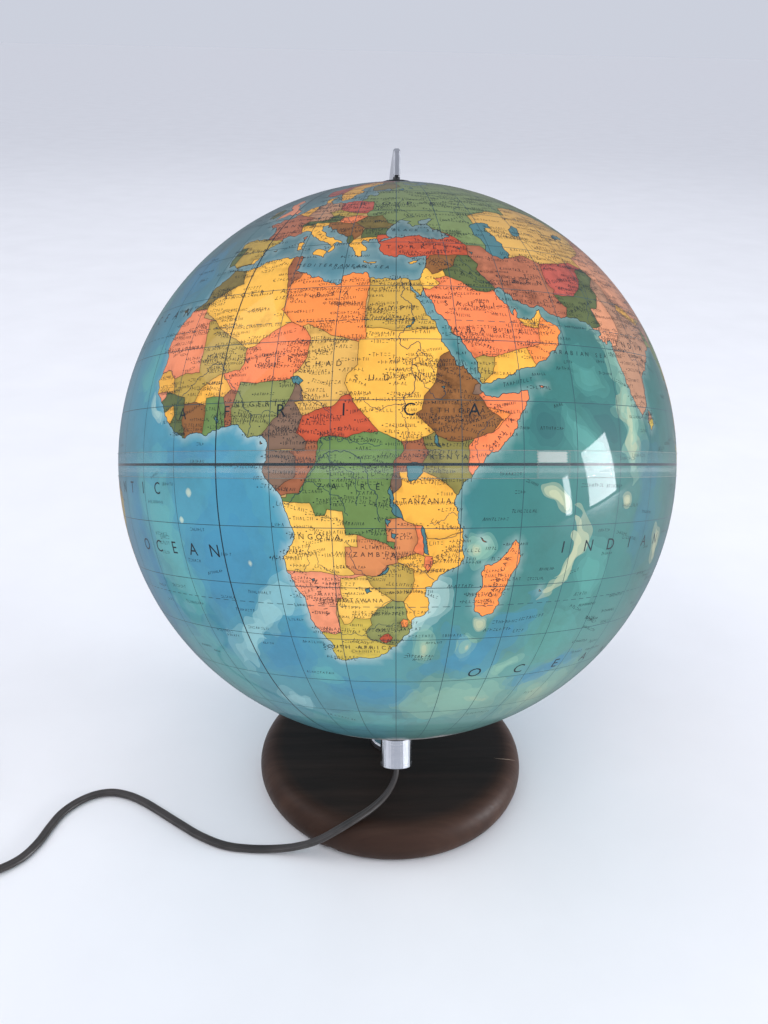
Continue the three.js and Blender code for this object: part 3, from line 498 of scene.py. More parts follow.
    "north_america": """-168,65.6 -164,66.5 -166.8,68.3 -156.5,71.3 -141,69.6 -128,70.3 -115,68.5 -108,68
    -96,67.5 -94,71.8 -85,69.5 -82,67 -87,64.3 -94,60 -92.5,57 -82.3,55.1 -80,51.3 -79,54.5 -77,57 -78,62.3
    -70,61 -65,58.8 -61.5,56 -56,52.5 -60,50.2 -66,50.2 -70,47.2 -65,48.8 -64.5,46.2 -60.5,46.5 -66.2,43.6
    -67,44.8 -70.5,43 -70,41.7 -74,40.6 -76,36.8 -75.6,35.2 -79,33.2 -81.2,31.2 -80,26.8 -80.5,25.2 -82.8,28
    -84.2,30 -89.5,30.2 -90.5,29.2 -94,29.6 -97.3,27.5 -97.6,22.5 -95.5,18.6 -91,18.7 -90.3,21 -87,21.5
    -88.3,18 -88.5,15.8 -83.3,15 -83.6,11 -81,8.8 -79.5,9.4 -77.4,8.4 -77.8,7.4 -80,7.3 -83,8.3 -85.8,10
    -87.6,13 -92.2,14.5 -95,16.1 -99.8,16.8 -105.5,20.2 -106,23 -109.4,25.7 -112.5,30.8 -114.8,31.6
    -112,27.5 -109.5,23.1 -112.2,26 -115,28.5 -117.1,32.5 -120.6,34.6 -123.8,39.5 -124.6,48.3 -122.6,47.5
    -123.2,49.2 -128,51.5 -131,55 -135,58.5 -140,59.9 -146,60.8 -151.5,59.3 -160,55.8 -164.5,54.7 -158,58.5
    -162,59 -165.5,61.8 -161,64.5""",
    "south_america": """-77.4,8.4 -75.5,10.6 -72,12 -71.5,11 -68,11 -62.5,10.6 -60.5,8.5 -57,6 -52,5 -50,1
    -48,-1 -44,-2.6 -40,-2.9 -35.3,-5.2 -35,-8.5 -38.5,-13 -39,-18 -41,-22 -44.5,-23.1 -48.5,-26 -49,-28.8
    -53.5,-34 -58.4,-34 -57,-36.5 -62,-38.9 -65,-41 -63.7,-42.5 -67.5,-46 -65.8,-47.9 -69,-51 -68.3,-52.5
    -65.2,-54.8 -69,-55.5 -73.5,-52.5 -75.5,-47 -73.5,-42 -73.5,-37.2 -71.5,-31 -70.5,-25 -70.3,-18.4
    -76.2,-14 -79.5,-8 -81.3,-5 -80.8,-1 -78.8,1.5 -77.3,4 -77.8,7.4""",
    "greenland": """-73,78.2 -62,82.2 -30,83.5 -12,81.5 -20,75 -22,71 -32,68 -42,62 -44,60 -49,62 -53.5,67
    -54,71 -60,75.8""",
    "baffin": "-89,73 -80,73.5 -68,69 -62,66.5 -65,62.5 -72,64 -74,67.5",
    "victoria": "-117,69 -102,69 -106,73 -117,73",
    "ellesmere": "-88,77 -76,78.5 -64,82.3 -85,82",
    "newfoundland": "-59,47.6 -55.6,51.5 -53,47",
    "cuba": "-84.8,22 -81,23.1 -74.3,20.2 -77.5,19.9",
    "hispaniola": "-74.3,18.5 -72.5,19.9 -68.5,18.6",
    "antarctica": """-169,-78.5 -158,-77 -140,-75 -115,-73.8 -100,-72.5 -75,-72.5 -67,-68 -58,-63.3 -61,-68
    -62,-74 -50,-77.5 -35,-78 -20,-73.5 -5,-70.8 15,-69.8 35,-69 50,-66.5 60,-67.3 73,-70 80,-67.8 95,-66.5
    110,-66.2 130,-66 145,-67 160,-69.5 170,-71.8 165,-77.8 180,-78.4 191,-78.5 191,-89 -169,-89""",
}

WATER = {
    "caspian": """47.5,45.5 49.2,46.4 51.2,46.9 53,46.6 53.2,45.3 51.2,45 51,44.2 52.8,42.8 52.7,41.5
    53.8,40.8 53.7,39.2 53.8,37.2 52,36.7 50.2,37.4 49,38.4 49.4,40.2 47.8,42.6""",
    "aral": "58.3,45.3 59.5,46.4 61.6,46.5 61,44.8 59.5,43.6 58.3,43.9",
    "victoria_lake": "31.8,0.2 33.2,0.3 34.2,-0.3 33.8,-1.5 33,-2.5 31.9,-2.6 31.7,-1",
    "tanganyika": "29.2,-3.3 29.5,-4.5 29.6,-6 30.6,-7 31.1,-8.7 30.4,-8.2 29.4,-6.7 29.1,-4.8",
    "nyasa": "34,-9.6 34.5,-10.8 34.8,-12.5 35.2,-14.3 34.5,-14 34.2,-12.2 34,-11",
    "chad_lake": "13.2,13.9 14.4,14 15.3,13.2 14.6,12.6 13.7,12.8",
    "rudolf": "36,4.7 36.4,3.8 36.8,2.6 36.2,2.8 35.8,4.2",
    "mweru": "28.4,-8.4 29.2,-8.8 28.8,-9.7",
    "bangweulu": "29.3,-10.6 30.1,-11 29.8,-11.7 29.3,-11.4",
    "kariba": "27,-17.7 28.7,-16.3 28.9,-16.5 27.4,-17.8",
    "tana": "37,12.1 37.6,12.2 37.5,11.7",
    "nasser": "32.8,23.9 33,23 31.6,22 32.5,22.2 33.2,23.1",
    "etosha": "15.7,-18.4 16.6,-18.5 16.3,-19",
    "makarikari": "24.9,-20.3 25.6,-20.1 26,-20.6 25.2,-21",
    "volta": "-0.3,8.4 0.3,7.2 0,6.6 -0.6,7.4",
    "van": "42.4,38.5 43.4,38.9 43.2,38.4",
    "urmia": "45,38.1 45.8,37.9 45.5,37.3",
    "balkhash": "73.5,45.4 75,46.7 79,46.7 75.5,45.9",
    "baikal": "104,51.5 106.5,52.8 109.8,55.7 108.5,53.6",
    "ladoga": "30.8,60.5 32.5,61.5 32.8,60.4 31.5,59.9",
    "onega": "34.5,61.7 35.5,62.3 36.2,61.1",
    "superior": "-92,46.7 -88.5,48.7 -84.8,46.8 -88,46.9",
    "michigan": "-87.8,42 -87.6,45.5 -84.8,45.8 -86.3,43.5",
    "huron": "-84.5,46 -80.2,45.2 -82.2,43.2 -83.4,45",
    "erie": "-83.3,41.8 -79,42.8 -79.5,43.6 -76.5,43.9 -79.3,43.2 -82,42.5",
    "great_bear": "-124,65.5 -120,67 -118,65.8 -121,65",
    "winnipeg": "-99,53.5 -97,53.8 -96.6,50.6 -98,51.5",
}

# The first outline that holds a place gives it its colour, so only one of two neighbours needs care
# along their border.
COUNTRIES = (
    ("red", "27,-29.7 27.8,-28.9 28.6,-28.6 29.4,-29.4 29.1,-30.1 28.2,-30.6 27.4,-30.3"),
    ("orange", "30.8,-26.3 31.3,-25.7 32.1,-25.9 32.1,-26.8 31.9,-27.3 31.1,-27.3"),
    ("olive", """25.2,-17.8 27,-17.9 28.8,-16 30.4,-15.6 32.8,-16.7 33,-18.5 32.6,-20.5 31.3,-22.4
    29.4,-22.2 27.7,-20.9 26,-19.5"""),
    ("yellow", """20,-22 21,-22 21,-18.3 23,-18.3 25.2,-17.8 26,-19.5 27.7,-20.9 29.4,-22.2 26.9,-23.7
    25.6,-25.6 24,-25.7 22.9,-25.5 22,-26.6 20.8,-26.9 20,-24.8"""),
    ("pink", """14,-29 16.5,-28.6 17.4,-28.7 19,-29 20,-28.4 20,-22 21,-22 21,-18.3 23,-18.3 25.2,-17.8
    23.4,-17.6 21.4,-17.9 18.4,-17.4 14,-17.4 11.7,-17.2 9,-17.2"""),
    ("leaf", """25.6,-25.6 26.9,-23.7 29.4,-22.2 31.3,-22.4 31.8,-24 32,-25.9 32.1,-26.8 34,-26.9 31.8,-31.5
    29.4,-31 27.4,-30.6 24.9,-29.6 24.6,-28.3 25.8,-26.9"""),
    ("lime", """14,-29 16.5,-28.6 20,-28.4 20,-24.8 20.8,-26.9 22,-26.6 22.9,-25.5 25.6,-25.6 31,-24 36,-30
    30,-37 15,-37"""),
    ("salmon", """32.9,-9.4 34,-9.5 34.4,-11.5 34.6,-12 34.3,-14.4 35.8,-14.6 35.8,-16 35.2,-17.2 34.4,-16.2
    34.6,-14.6 33.2,-14 32.7,-13.6 33.3,-12.4 33.2,-10.8"""),
    ("gold", """44,-10.5 40.5,-10.5 37,-11.7 34.9,-11.6 34.6,-12 34.3,-14.4 35.8,-14.6 35.8,-16 35.2,-17.2
    34.4,-16.2 34.6,-14.6 33.2,-14 30.2,-15 30.4,-15.6 32.8,-16.7 33,-18.5 32.6,-20.5 31.3,-22.4 31.8,-24
    32,-25.9 32.1,-26.8 34,-26.9 40,-22"""),
    ("copper", """22,-16.2 22,-13 24,-13 24,-11 25.4,-11.6 27,-11.9 28.4,-12.4 29.8,-13.4 29.8,-12.2
    28.6,-12 28.4,-9.2 28.7,-8.5 30.8,-8.3 32.9,-9.4 33.2,-10.8 33.3,-12.4 32.7,-13.6 33.2,-14 30.2,-15
    30.4,-15.6 28.8,-16 27,-17.9 25.2,-17.8 23.4,-17.6"""),
    ("yellow", """9,-17.2 11.7,-17.2 14,-17.4 18.4,-17.4 21.4,-17.9 23.4,-17.6 22,-16.2 22,-13 24,-13 24,-11
    22.2,-11.1 21.8,-7.3 19.4,-7 19,-8 17.5,-8.1 16.6,-6 13,-5.9 12.2,-5.8 10,-6"""),
    ("green", """10,-6 12.2,-5.8 13,-5.9 16.6,-6 17.5,-8.1 19,-8 19.4,-7 21.8,-7.3 22.2,-11.1 24,-11
    25.4,-11.6 27,-11.9 28.4,-12.4 29.8,-13.4 29.8,-12.2 28.6,-12 28.4,-9.2 28.7,-8.5 30.8,-8.3 29.2,-6
    29.2,-3 29.6,-1.4 29.7,0.6 31.2,2.2 30.8,3.5 29,4.4 27.4,5.1 25,5 22.5,4.1 20.5,4.4 18.6,4.3 18,3.5
    17.8,0.5 16.2,-2.2 15,-4.5 13,-4.6 12.8,-5.2 10,-5.4"""),
    ("clay", """10,-5 12,-4.9 13,-4.6 15,-4.5 16.2,-2.2 17.8,0.5 18,3.5 16.2,3.6 16.1,2.2 13.3,2.2 14.4,1.3
    14.4,-1.9 11.2,-3.9"""),
    ("mauve", "7,-3 11.2,-3.9 14.4,-1.9 14.4,1.3 13.3,2.2 9.8,2.2 7,1"),
    ("mauve", """7,3.4 8.5,4.6 10.5,7 12.2,8.5 13.5,11 14.1,13 15,12.2 15.6,10 14,9.8 15.5,7.6 14.5,5
    16.2,3.6 16.1,2.2 9.8,2.2"""),
    ("leaf", """2.7,4 2.7,8.9 3.6,11.7 4,13.4 7,13 10,13.4 13.6,13.7 14.1,13 13.5,11 12.2,8.5 10.5,7 8.5,4.6
    7,3.4"""),
    ("clay", "0.9,11 2.3,12.2 3.6,11.7 2.7,8.9 2.7,4 1.7,4 1.7,6.2 1.6,9"),
    ("green", "0,11.1 0.9,11 1.6,9 1.7,6.2 1.7,4 1.2,4 1.2,6 0.5,8.5"),
    ("green", "-2.8,11 0,11.1 0.5,8.5 1.2,6 1.2,4 -3.1,4 -3.1,5 -2.8,7.5 -2.8,9.7"),
    ("gold", "0.2,15 2.3,12.2 0.9,11 0,11.1 -2.8,11 -2.8,9.7 -5.5,10.4 -4.4,12.6 -2,14.2"),
    ("brown", "-8,10.2 -5.5,10.4 -2.8,9.7 -2.8,7.5 -3.1,5 -3.1,3.5 -7.5,3.5 -7.5,5.8 -8.3,7.5 -8,8.5"),
    ("moss", "-11.5,6.9 -10.5,8.4 -9.4,7.4 -8.3,7.5 -7.5,5.8 -7.5,3.5 -13,5"),
    ("gold", "-13.3,9 -11,10 -10.5,8.4 -11.5,6.9 -14.5,7"),
    ("pink", "-18,12.4 -16.7,12.4 -13.7,12.6 -13.7,11.7 -15,10.8 -17.5,10.5"),
    ("moss", """-11.4,12.1 -8.2,11.3 -8,10.2 -8,8.5 -8.3,7.5 -9.4,7.4 -10.5,8.4 -11,10 -13.3,9 -16,9.5
    -15,10.8 -13.7,11.7 -13.7,12.6"""),
    ("gold", "-19,16 -16.5,16.1 -14,16.5 -12.1,14.8 -11.4,12.1 -13.7,12.6 -16.7,12.4 -19,12.4"),
    ("salmon_light", """-19,27.7 -14,27.7 -8.7,27.7 -8.7,26 -4.8,25 -6.5,25 -5.5,15.5 -9.3,15.5 -12.1,14.8
    -14,16.5 -16.5,16.1 -19,16"""),
    ("olive", """-4.8,25 1.2,21.1 3.2,19.7 4.2,19.1 4.2,16.5 3.5,15.4 0.2,15 -2,14.2 -4.4,12.6 -5.5,10.4
    -8,10.2 -8.2,11.3 -11.4,12.1 -12.1,14.8 -9.3,15.5 -5.5,15.5 -6.5,25"""),
    ("khaki", "-19,27.7 -8.7,27.7 -8.7,28.8 -3,31.7 -1.2,32.2 -1.7,33.2 -2.2,35.2 -2,37 -12,36.5"),
    ("gold_light", """-8.7,27.3 -8.7,28.8 -3,31.7 -1.2,32.2 -1.7,33.2 -2.2,35.2 -2,38 8.6,38 8.6,36.9
    8.2,34.7 9.1,32.1 9.5,30.2 9.9,26.5 9.4,26 11.9,23.5 5.8,19.5 4.2,19.1 3.2,19.7 1.2,21.1 -4.8,25"""),
    ("clay", "8.6,38.5 12,38 11.8,33 11.5,32.2 10.3,31.7 9.5,30.2 9.1,32.1 8.2,34.7 8.6,36.9"),
    ("orange", """11.8,33.4 11.5,32.2 10.3,31.7 9.5,30.2 9.9,26.5 9.4,26 11.9,23.5 14,22.6 15,23 24,19.5
    24,20 25,20 25,34"""),
    ("olive_light", "25,34 25,22 36.9,22 39,22 36,26 34.9,28.2 34.9,29.5 34.3,31.3 34,33"),
    ("salmon", """4.2,19.1 5.8,19.5 11.9,23.5 14.2,22.6 15.2,21.5 15.9,20.4 15.5,16.9 13.5,14.4 13.6,13.7
    10,13.4 7,13 4,13.4 3.6,11.7 2.3,12.2 0.2,15 3.5,15.4 4.2,16.5"""),
    ("khaki_light", """15,23 24,19.5 24,15.7 22.4,14.2 22,12.7 22.9,11 21.6,10.6 20,9 18.8,8.9 15.5,7.6
    14,9.8 15.6,10 15,12.2 14.1,13 13.6,13.7 13.5,14.4 15.5,16.9 15.9,20.4 15.2,21.5 14.2,22.6"""),
    ("red", """15.5,7.6 18.8,8.9 20,9 21.6,10.6 22.9,11 24.2,8.7 27.4,5.1 25,5 22.5,4.1 20.5,4.4 18.6,4.3
    18,3.5 16.2,3.6 14.5,5"""),
    ("gold_light", """25,22 36.9,22 39,22 39.5,18 38.6,18 37,17 36.4,14.5 36,12.7 34.3,10.6 34,8.5 33,7.8
    35.9,5 34,4.2 33.5,3.8 30.8,3.5 27.4,5.1 24.2,8.7 22.9,11 22,12.7 22.4,14.2 24,15.7 24,19.5
    24,20 25,20"""),
    ("mauve", "41.8,11 42.4,12.5 43.4,12.9 44,11.6 42.8,10.9"),
    ("brown", """39,19 38.6,18 37,17 36.4,14.5 36,12.7 34.3,10.6 34,8.5 33,7.8 35.9,5 36,4.5 38,3.6 39.5,3.5
    41.9,4 45,5 46.5,7 44,9 42.8,10.9 41.8,11 42.4,12.5 43.4,12.9 42,15.5"""),
    ("orange", "44,9 46.5,7 45,5 48,8"),
    ("salmon", "42.8,10.9 44,9 48,8 45,5 41.9,4 41,2.8 41,-0.9 41.6,-1.7 43,-2.5 54,6 54,13 44,12"),
    ("khaki_green", """34,4.2 35.9,5 36,4.5 38,3.6 39.5,3.5 41.9,4 41,2.8 41,-0.9 41.6,-1.7 43,-3 41,-5
    39.2,-4.7 37.6,-3 33.9,-1 34,0.3 35,1.9"""),
    ("clay", "30.8,3.5 33.5,3.8 34,4.2 35,1.9 34,0.3 33.9,-1 30.5,-1.1 29.6,-1.4 29.7,0.6 31.2,2.2"),
    ("mauve", "29.2,-3 29.6,-1.4 30.5,-1.1 30.8,-2.3 30.8,-3.3 29.6,-4.5"),
    ("gold", """30.5,-1.1 33.9,-1 37.6,-3 39.2,-4.7 41,-5 43,-10.5 40.5,-10.5 37,-11.7 34.9,-11.6 34,-9.5
    32.9,-9.4 30.8,-8.3 29.2,-6 29.6,-4.5 30.8,-3.3 30.8,-2.3"""),
    ("orange", "42,-11.8 52,-11 52,-26.5 42,-26.5"),
    # south-west Asia
    ("red", """26,42 28,42 29,41.4 35,43 41.5,42.5 43.5,41 44.8,39.7 44.6,37.2 42.4,37.1 40,36.8 36.7,36.8
    36.2,35.9 35,35.9 27,35.5 25.8,39"""),
    ("gold", "31.8,34.3 35,34.5 35,36 31.8,35.8"),
    ("brown", "34.8,35.9 36.2,35.9 36.7,36.8 42.4,37.1 41,34.4 38.8,33.4 36.7,32.4 35.9,33.7 34.8,34.2"),
    ("gold_light", """34.3,31.3 34.9,29.5 36,29.2 38,30.5 37,31.5 39.2,32.1 38.8,33.4 36.7,32.4 35.9,33.7
    34.5,34"""),
    ("moss", """42.4,37.1 44.6,37.2 46.2,35.2 45.5,33.9 47.7,31 48.7,29.7 46.6,29.1 44.7,29.2 42,31.1
    39.2,32.1 38.8,33.4 41,34.4"""),
    ("clay_red", """44.6,37.2 44.8,39.7 48,39.7 49.3,38.4 53.9,37.3 57,38.2 61.2,36.6 60.6,34 60.8,31.5
    61.8,30.8 61,29.8 63.2,27.2 61.7,24.5 60,24.5 56.5,26.5 52,26.6 49.8,29.4 48.7,29.7 47.7,31 45.5,33.9
    46.2,35.2"""),
    ("rose", """61.2,36.6 64.5,37.1 67,37.3 71,38.4 74.9,37.4 71.5,36.4 71,34.2 69.3,32 66.4,29.9 61,29.8
    61.8,30.8 60.8,31.5 60.6,34"""),
    ("moss", """61.7,24.5 63.2,27.2 61,29.8 66.4,29.9 69.3,32 71,34.2 71.5,36.4 74.9,37.4 77,35.5 74,33
    74.5,31 72,28 70,27.8 70.5,25.5 71,24.4 68,23.6 66,23"""),
    ("orange_dull", "68,23.6 71,24.4 70.5,25.5 70,27.8 72,28 74.5,31 76,28 76.5,24 74,21 72.6,20.6 67,20"),
    ("brown_pale", """74.5,31 74,33 77,35.5 78.8,33.5 79,31 81,30.2 80.2,28.8 84,27.3 88,26.5 89,27 97,28.4
    94.5,25 92.5,22 91.2,24 89,26 88.6,24.5 89,21 90,12 78,6.5 71,10 67,20 72.6,20.6 74,21
    76.5,24 76,28"""),
    ("leaf", "88.6,24.5 89,26 91.2,24 92.5,22 92.5,20.5 89,21"),
    ("gold", "80.2,28.8 81,30.2 88.7,27.9 88,26.5 84,27.3"),
    ("lime", "79,10.5 83,9 83,5 79,5"),
    ("olive", "42,13 42,16.6 44,17.4 46,17.2 45.5,14.5 43.9,13 43.5,12.3"),
    ("gold", "46,17.2 52,19 53,16.6 55,14 45,11.8 43.9,13 45.5,14.5"),
    ("gold", "51.4,24.6 52.6,22.9 55.2,22.7 55.8,24.3 56.4,24.9 56.4,26.6 54,25.3"),
    ("orange", "52,19 55,20 55.2,22.7 55.8,24.3 56.4,24.9 61,24.5 61,18 55,14 53,16.6"),
    ("salmon", """34.9,29.5 36,29.2 38,30.5 37,31.5 39.2,32.1 42,31.1 44.7,29.2 46.6,29.1 48.7,29.7 52,26.6
    54,25.3 52.6,22.9 55.2,22.7 55,20 52,19 46,17.2 44,17.4 42,16.6 42,13 38,19 34,27"""),
    # Europe
    ("moss", "-9.8,36.5 -7.4,37 -7,39 -6.5,41.8 -8.9,42 -10,42"),
    ("olive", """-10,42 -8.9,42 -6.5,41.8 -7,39 -7.4,37 -7,35.9 0,35.9 4.5,39 4.5,42.3 3.2,42.4 0.7,42.7
    -1.7,43.3 -2,44.5 -10,44.5"""),
    ("clay_red", """-1.7,43.3 0.7,42.7 3.2,42.4 6,42.6 7.6,43.7 7,44.9 6.8,46 6,46.3 7.6,47.6 8.2,49
    6.2,49.5 2.5,51 1.5,51.4 -5.5,50 -5.5,47 -2,44.5"""),
    ("clay_red", "8,43.2 10,43.2 10,41.2 8,41.2"),
    ("pink", "-6.5,49.5 1.6,50.9 3,52 0,59.5 -8,59 -6,55 -4.5,53"),
    ("moss", "-11,51 -5.8,51.5 -5.4,54.8 -8,56"),
    ("gold", "2.5,51 6.2,49.5 6.3,50.8 7.1,52.3 7,53.8 4,53.4"),
    ("brown_pale", """6.2,49.5 8.2,49 7.6,47.6 10.2,47.4 13,47.6 13.8,48.7 12.2,50.3 15,51 14.4,53.9 11,54.6
    8,55 7,53.8 7.1,52.3 6.3,50.8"""),
    ("gold", "8,55 11,54.6 13,55.3 12.7,56.2 11,58.2 7.5,57.3"),
    ("moss", """6,46.3 6.8,46 8.9,46 10.4,46.8 13.7,46.5 16.3,47 17,48.4 15,49 13.8,48.7 13,47.6 10.2,47.4
    7.6,47.6"""),
    ("gold", """7.6,43.7 7,44.9 6.8,46 8.9,46 10.4,46.8 13.7,46.5 13.7,45.6 12.9,44 14.5,43 19,40.5
    18.5,39.3 16,36.3 12,36.3 7.9,38.6 7.9,41.2 10,42.6"""),
    ("brown", """13.7,45.6 13.7,46.5 16.3,46.5 18.8,45.9 20.3,46.1 22.5,44.5 22.4,42.3 20.9,40.9 20.3,42.3
    19.3,41.9 18.4,42.3 14.3,44"""),
    ("moss", "19.3,41.9 20.3,42.3 20.9,40.9 20,39.7 19,40.3"),
    ("gold", """20,39.7 20.9,40.9 22.4,41.2 26.3,41.4 26.2,40.7 25,39.8 26.4,37.5 28.4,36.2 27,35 23,34.6
    20,37.2 19.3,39.6"""),
    ("moss", "22.4,41.2 26.3,41.4 28.2,42 28.7,43.7 27,44.1 22.8,43.9 22.4,42.3"),
    ("khaki", "22.8,43.9 27,44.1 28.7,43.7 29.9,45.2 28.2,45.5 26.6,48.2 23,48 20.3,46.1 22.5,44.5"),
    ("salmon", "16.3,46.5 18.8,45.9 20.3,46.1 23,48 20,48.4 17,48 16.3,47"),
    ("olive", "12.2,50.3 13.8,48.7 15,49 17,48.4 20,48.4 22.5,49.1 18.9,49.6 16.5,50.4 15,51"),
    ("rose", "14.4,53.9 15,51 16.5,50.4 18.9,49.6 22.5,49.1 24,50.7 23.5,53.9 19.8,54.5 16.5,55"),
    ("rose", """4.5,58.5 7.5,57.6 11,58.9 12,61 12.5,64 15.5,66.5 20,68.9 25.5,69 29,69.1 32,70 26,72
    17,70.5 9,65 3.8,61.5"""),
    ("gold", """11,58.9 10.7,58 12.6,55 15,55 20,57.5 19.5,60 17.5,61 22,64.5 24.1,65.8 23.8,68 20,68.9
    15.5,66.5 12.5,64 12,61"""),
    ("khaki", """20,68.9 23.8,68 24.1,65.8 21,63.5 20.5,60.3 23,59.7 27.8,60.4 31.5,62.8 29,66.9 28.9,69
    25.5,69"""),
    # the rest of Asia
    ("khaki_light", """49,46 48.5,49 55,51.5 61,51 62,54 70,55 77,53.5 82,51 87,49 82.5,45.5 80,42.5 74,40
    74.9,37.4 71,38.4 67,37.3 64.5,37.1 61.2,36.6 57,38.2 53.9,37.3 51.5,39 51.5,45"""),
    ("sage", """29.9,45.2 28.2,45.5 26.6,48.2 23,48 22.5,49.1 24,50.7 23.5,53.9 19.8,54.5 20,56 23,59.7
    27.8,60.4 31.5,62.8 29,66.9 28.9,69 32,70 40,80 191,80 191,60 165,50 155,45 145,44 133,42.4 131,42.8
    131,45 135,48.4 130.7,48.9 127,50 124,53.4 120,53.3 119.5,50 116.7,49.8 108,49.4 98.5,50.5 92,50.7 87,49
    82.5,45.5 61.2,36.6 53.9,37.3 49.3,38.4 48,39.7 44.8,39.7 43.5,41 41.5,42.5 37,44.5 33,43.8"""),
    ("brown_pale", """87,49 92,50.7 98.5,50.5 108,49.4 116.7,49.8 119.8,46.8 111.5,43.5 105,41.8 96.3,42.7
    91,45.2"""),
    ("orange_dull", """87,49 91,45.2 96.3,42.7 105,41.8 111.5,43.5 119.8,46.8 116.7,49.8 119.5,50 120,53.3
    124,53.4 127,50 130.7,48.9 135,48.4 131,45 131,42.8 124.3,40 123,35 125,28 119,21 110,17 108,21.5
    105.5,23 102,22.4 98.7,24 98.5,27.5 97,28.4 88.7,27.9 81,30.2 79,31 78.8,33.5 77,35.5 74.9,37.4 74,40
    80,42.5 82.5,45.5"""),
    ("green", """92.5,22 94.5,25 97,28.4 98.5,27.5 98.7,24 100.5,21.5 97.8,19 98.6,15.5 98.7,9.8
    97,14 91,17"""),
    ("gold", """98.6,15.5 97.8,19 100.5,20 101.2,17.7 104.8,17.4 105.3,14.3 102.5,11.5 101,6
    99,6.3 98.7,9.8"""),
    ("rose", """100.5,20 102,22.4 105.5,23 108,21.5 112,14 104,7 102.5,11.5 105.3,14.3
    104.8,17.4 101.2,17.7"""),
    ("olive", "99,6.3 101,6 106,0.8 119.5,7.5 117.5,4.2 113,1.5 109.5,1.5 104,1 100,2"),
    ("lime", "94,7 99,6.3 100,2 104,1 109.5,1.5 113,1.5 117.5,4.2 120,3 128,3 141,3 141,-10 94,-10"),
    ("orange", "141,3 141,-10 152,-12 152,0"),
    ("khaki_light", "119,19.5 124,19.5 128,5 118,5"),
    ("salmon", "128,30 128,36 139,46 147,44 142,33"),
    ("gold", "124,39 129.5,43.5 131,40 130,34 125,33"),
    # Australia and America
    ("gold", "129,-9 138,-9 138,-26 129,-26"),
    ("orange_dull", "110,-36 110,-12 129,-9 129,-40"),
    ("khaki_light", "129,-26 141,-26 141,-40 129,-40"),
    ("salmon", "138,-9 156,-9 156,-29 141,-29 141,-26 138,-26"),
    ("olive", "141,-29 156,-28 156,-37.4 150,-37.4 141,-34"),
    ("leaf", "141,-34 150,-37.4 150,-44 141,-44"),
    ("rose", "166,-33 180,-33 180,-48 166,-48"),
    ("olive_light", "-169,54 -141,60 -141,72 -169,72"),
    ("pink", """-141,60 -130,54.5 -123,49 -95,49 -88,48 -83,45.5 -82.5,42.5 -79,43 -75,45 -71,45.3
    -67.5,47.3 -67,44.8 -50,44 -52,60 -75,75 -62,83 -141,84"""),
    ("gold_light", """-126,49 -95,49 -88,48 -83,45.5 -82.5,42.5 -79,43 -75,45 -71,45.3 -67.5,47.3 -67,44.8
    -60,40 -79,24 -97,25.9 -101,29.5 -106.5,31.8 -111,31.4 -114.8,32.5 -117.1,32.5"""),
    ("green", """-119,32.5 -114.8,32.5 -111,31.4 -106.5,31.8 -101,29.5 -97,25.9 -92,26 -86,22 -88.3,18
    -92,14.3 -106,17"""),
    ("clay", "-92,14.3 -88.3,18 -82,16 -79,10 -77.5,8 -80,6"),
    ("orange_dull", "-85,23.5 -74,22 -74,19.5 -78,19.4"),
    ("moss", "-74.6,20.2 -68,20.2 -68,17.5 -74.6,17.5"),
    ("salmon", "-79,9 -71.5,12.8 -72.5,8 -67.5,6.3 -67,1.2 -69.8,-1 -70,-4.2 -75.5,0 -79,1.5"),
    ("gold", "-71.5,12.8 -60,10.5 -60,5 -64,4 -64,1.5 -67,1.2 -67.5,6.3 -72.5,8"),
    ("rose", "-60,9 -50,5.5 -51.7,4 -54.5,2.3 -59,1.3 -60,5"),
    ("olive", "-82,1.5 -79,1.5 -75.5,0 -78,-4.8 -82,-4"),
    ("clay_red", """-82,-4 -78,-4.8 -75.5,0 -70,-4.2 -73.5,-7.3 -70.5,-9.5 -69,-12.5 -69.5,-17.5 -72,-19
    -82,-8"""),
    ("khaki_light", """-70.5,-11 -65.3,-9.8 -60.2,-13.7 -58,-20 -62.6,-22.2 -67.5,-22.8 -69.5,-17.5
    -69,-12.5"""),
    ("brown", "-62.6,-22.2 -58,-20 -54.5,-24 -55.8,-27.4 -58,-27"),
    ("lime", """-50,6 -51.7,4 -54.5,2.3 -59,1.3 -60,5 -64,4 -64,1.5 -67,1.2 -69.8,-1 -70,-4.2 -73.5,-7.3
    -70.5,-11 -65.3,-9.8 -60.2,-13.7 -58,-20 -54.5,-24 -55.8,-27.4 -57.6,-30.2 -53.4,-33.7
    -45,-30 -33,-8"""),
    ("rose", "-57.6,-30.2 -53.4,-33.7 -53,-35.5 -58.4,-34"),
    ("moss", """-72,-18 -69.5,-17.5 -67.5,-22.8 -70,-30 -71.5,-40 -72,-50 -68.5,-52.4 -68.5,-56 -77,-56
    -77,-30"""),
    ("orange", """-67.5,-22.8 -62.6,-22.2 -58,-27 -55.8,-27.4 -57.6,-30.2 -58.4,-34 -55,-36 -62,-56
    -68.5,-56 -68.5,-52.4 -72,-50 -71.5,-40 -70,-30"""),
    ("salmon_light", "-75,58 -10,58 -8,84 -75,84"),
    ("plain", "-169,-60 -169,88 191,88 191,-60"),
    ("ice", "-169,-89 -169,-60 191,-60 191,-89"),
)

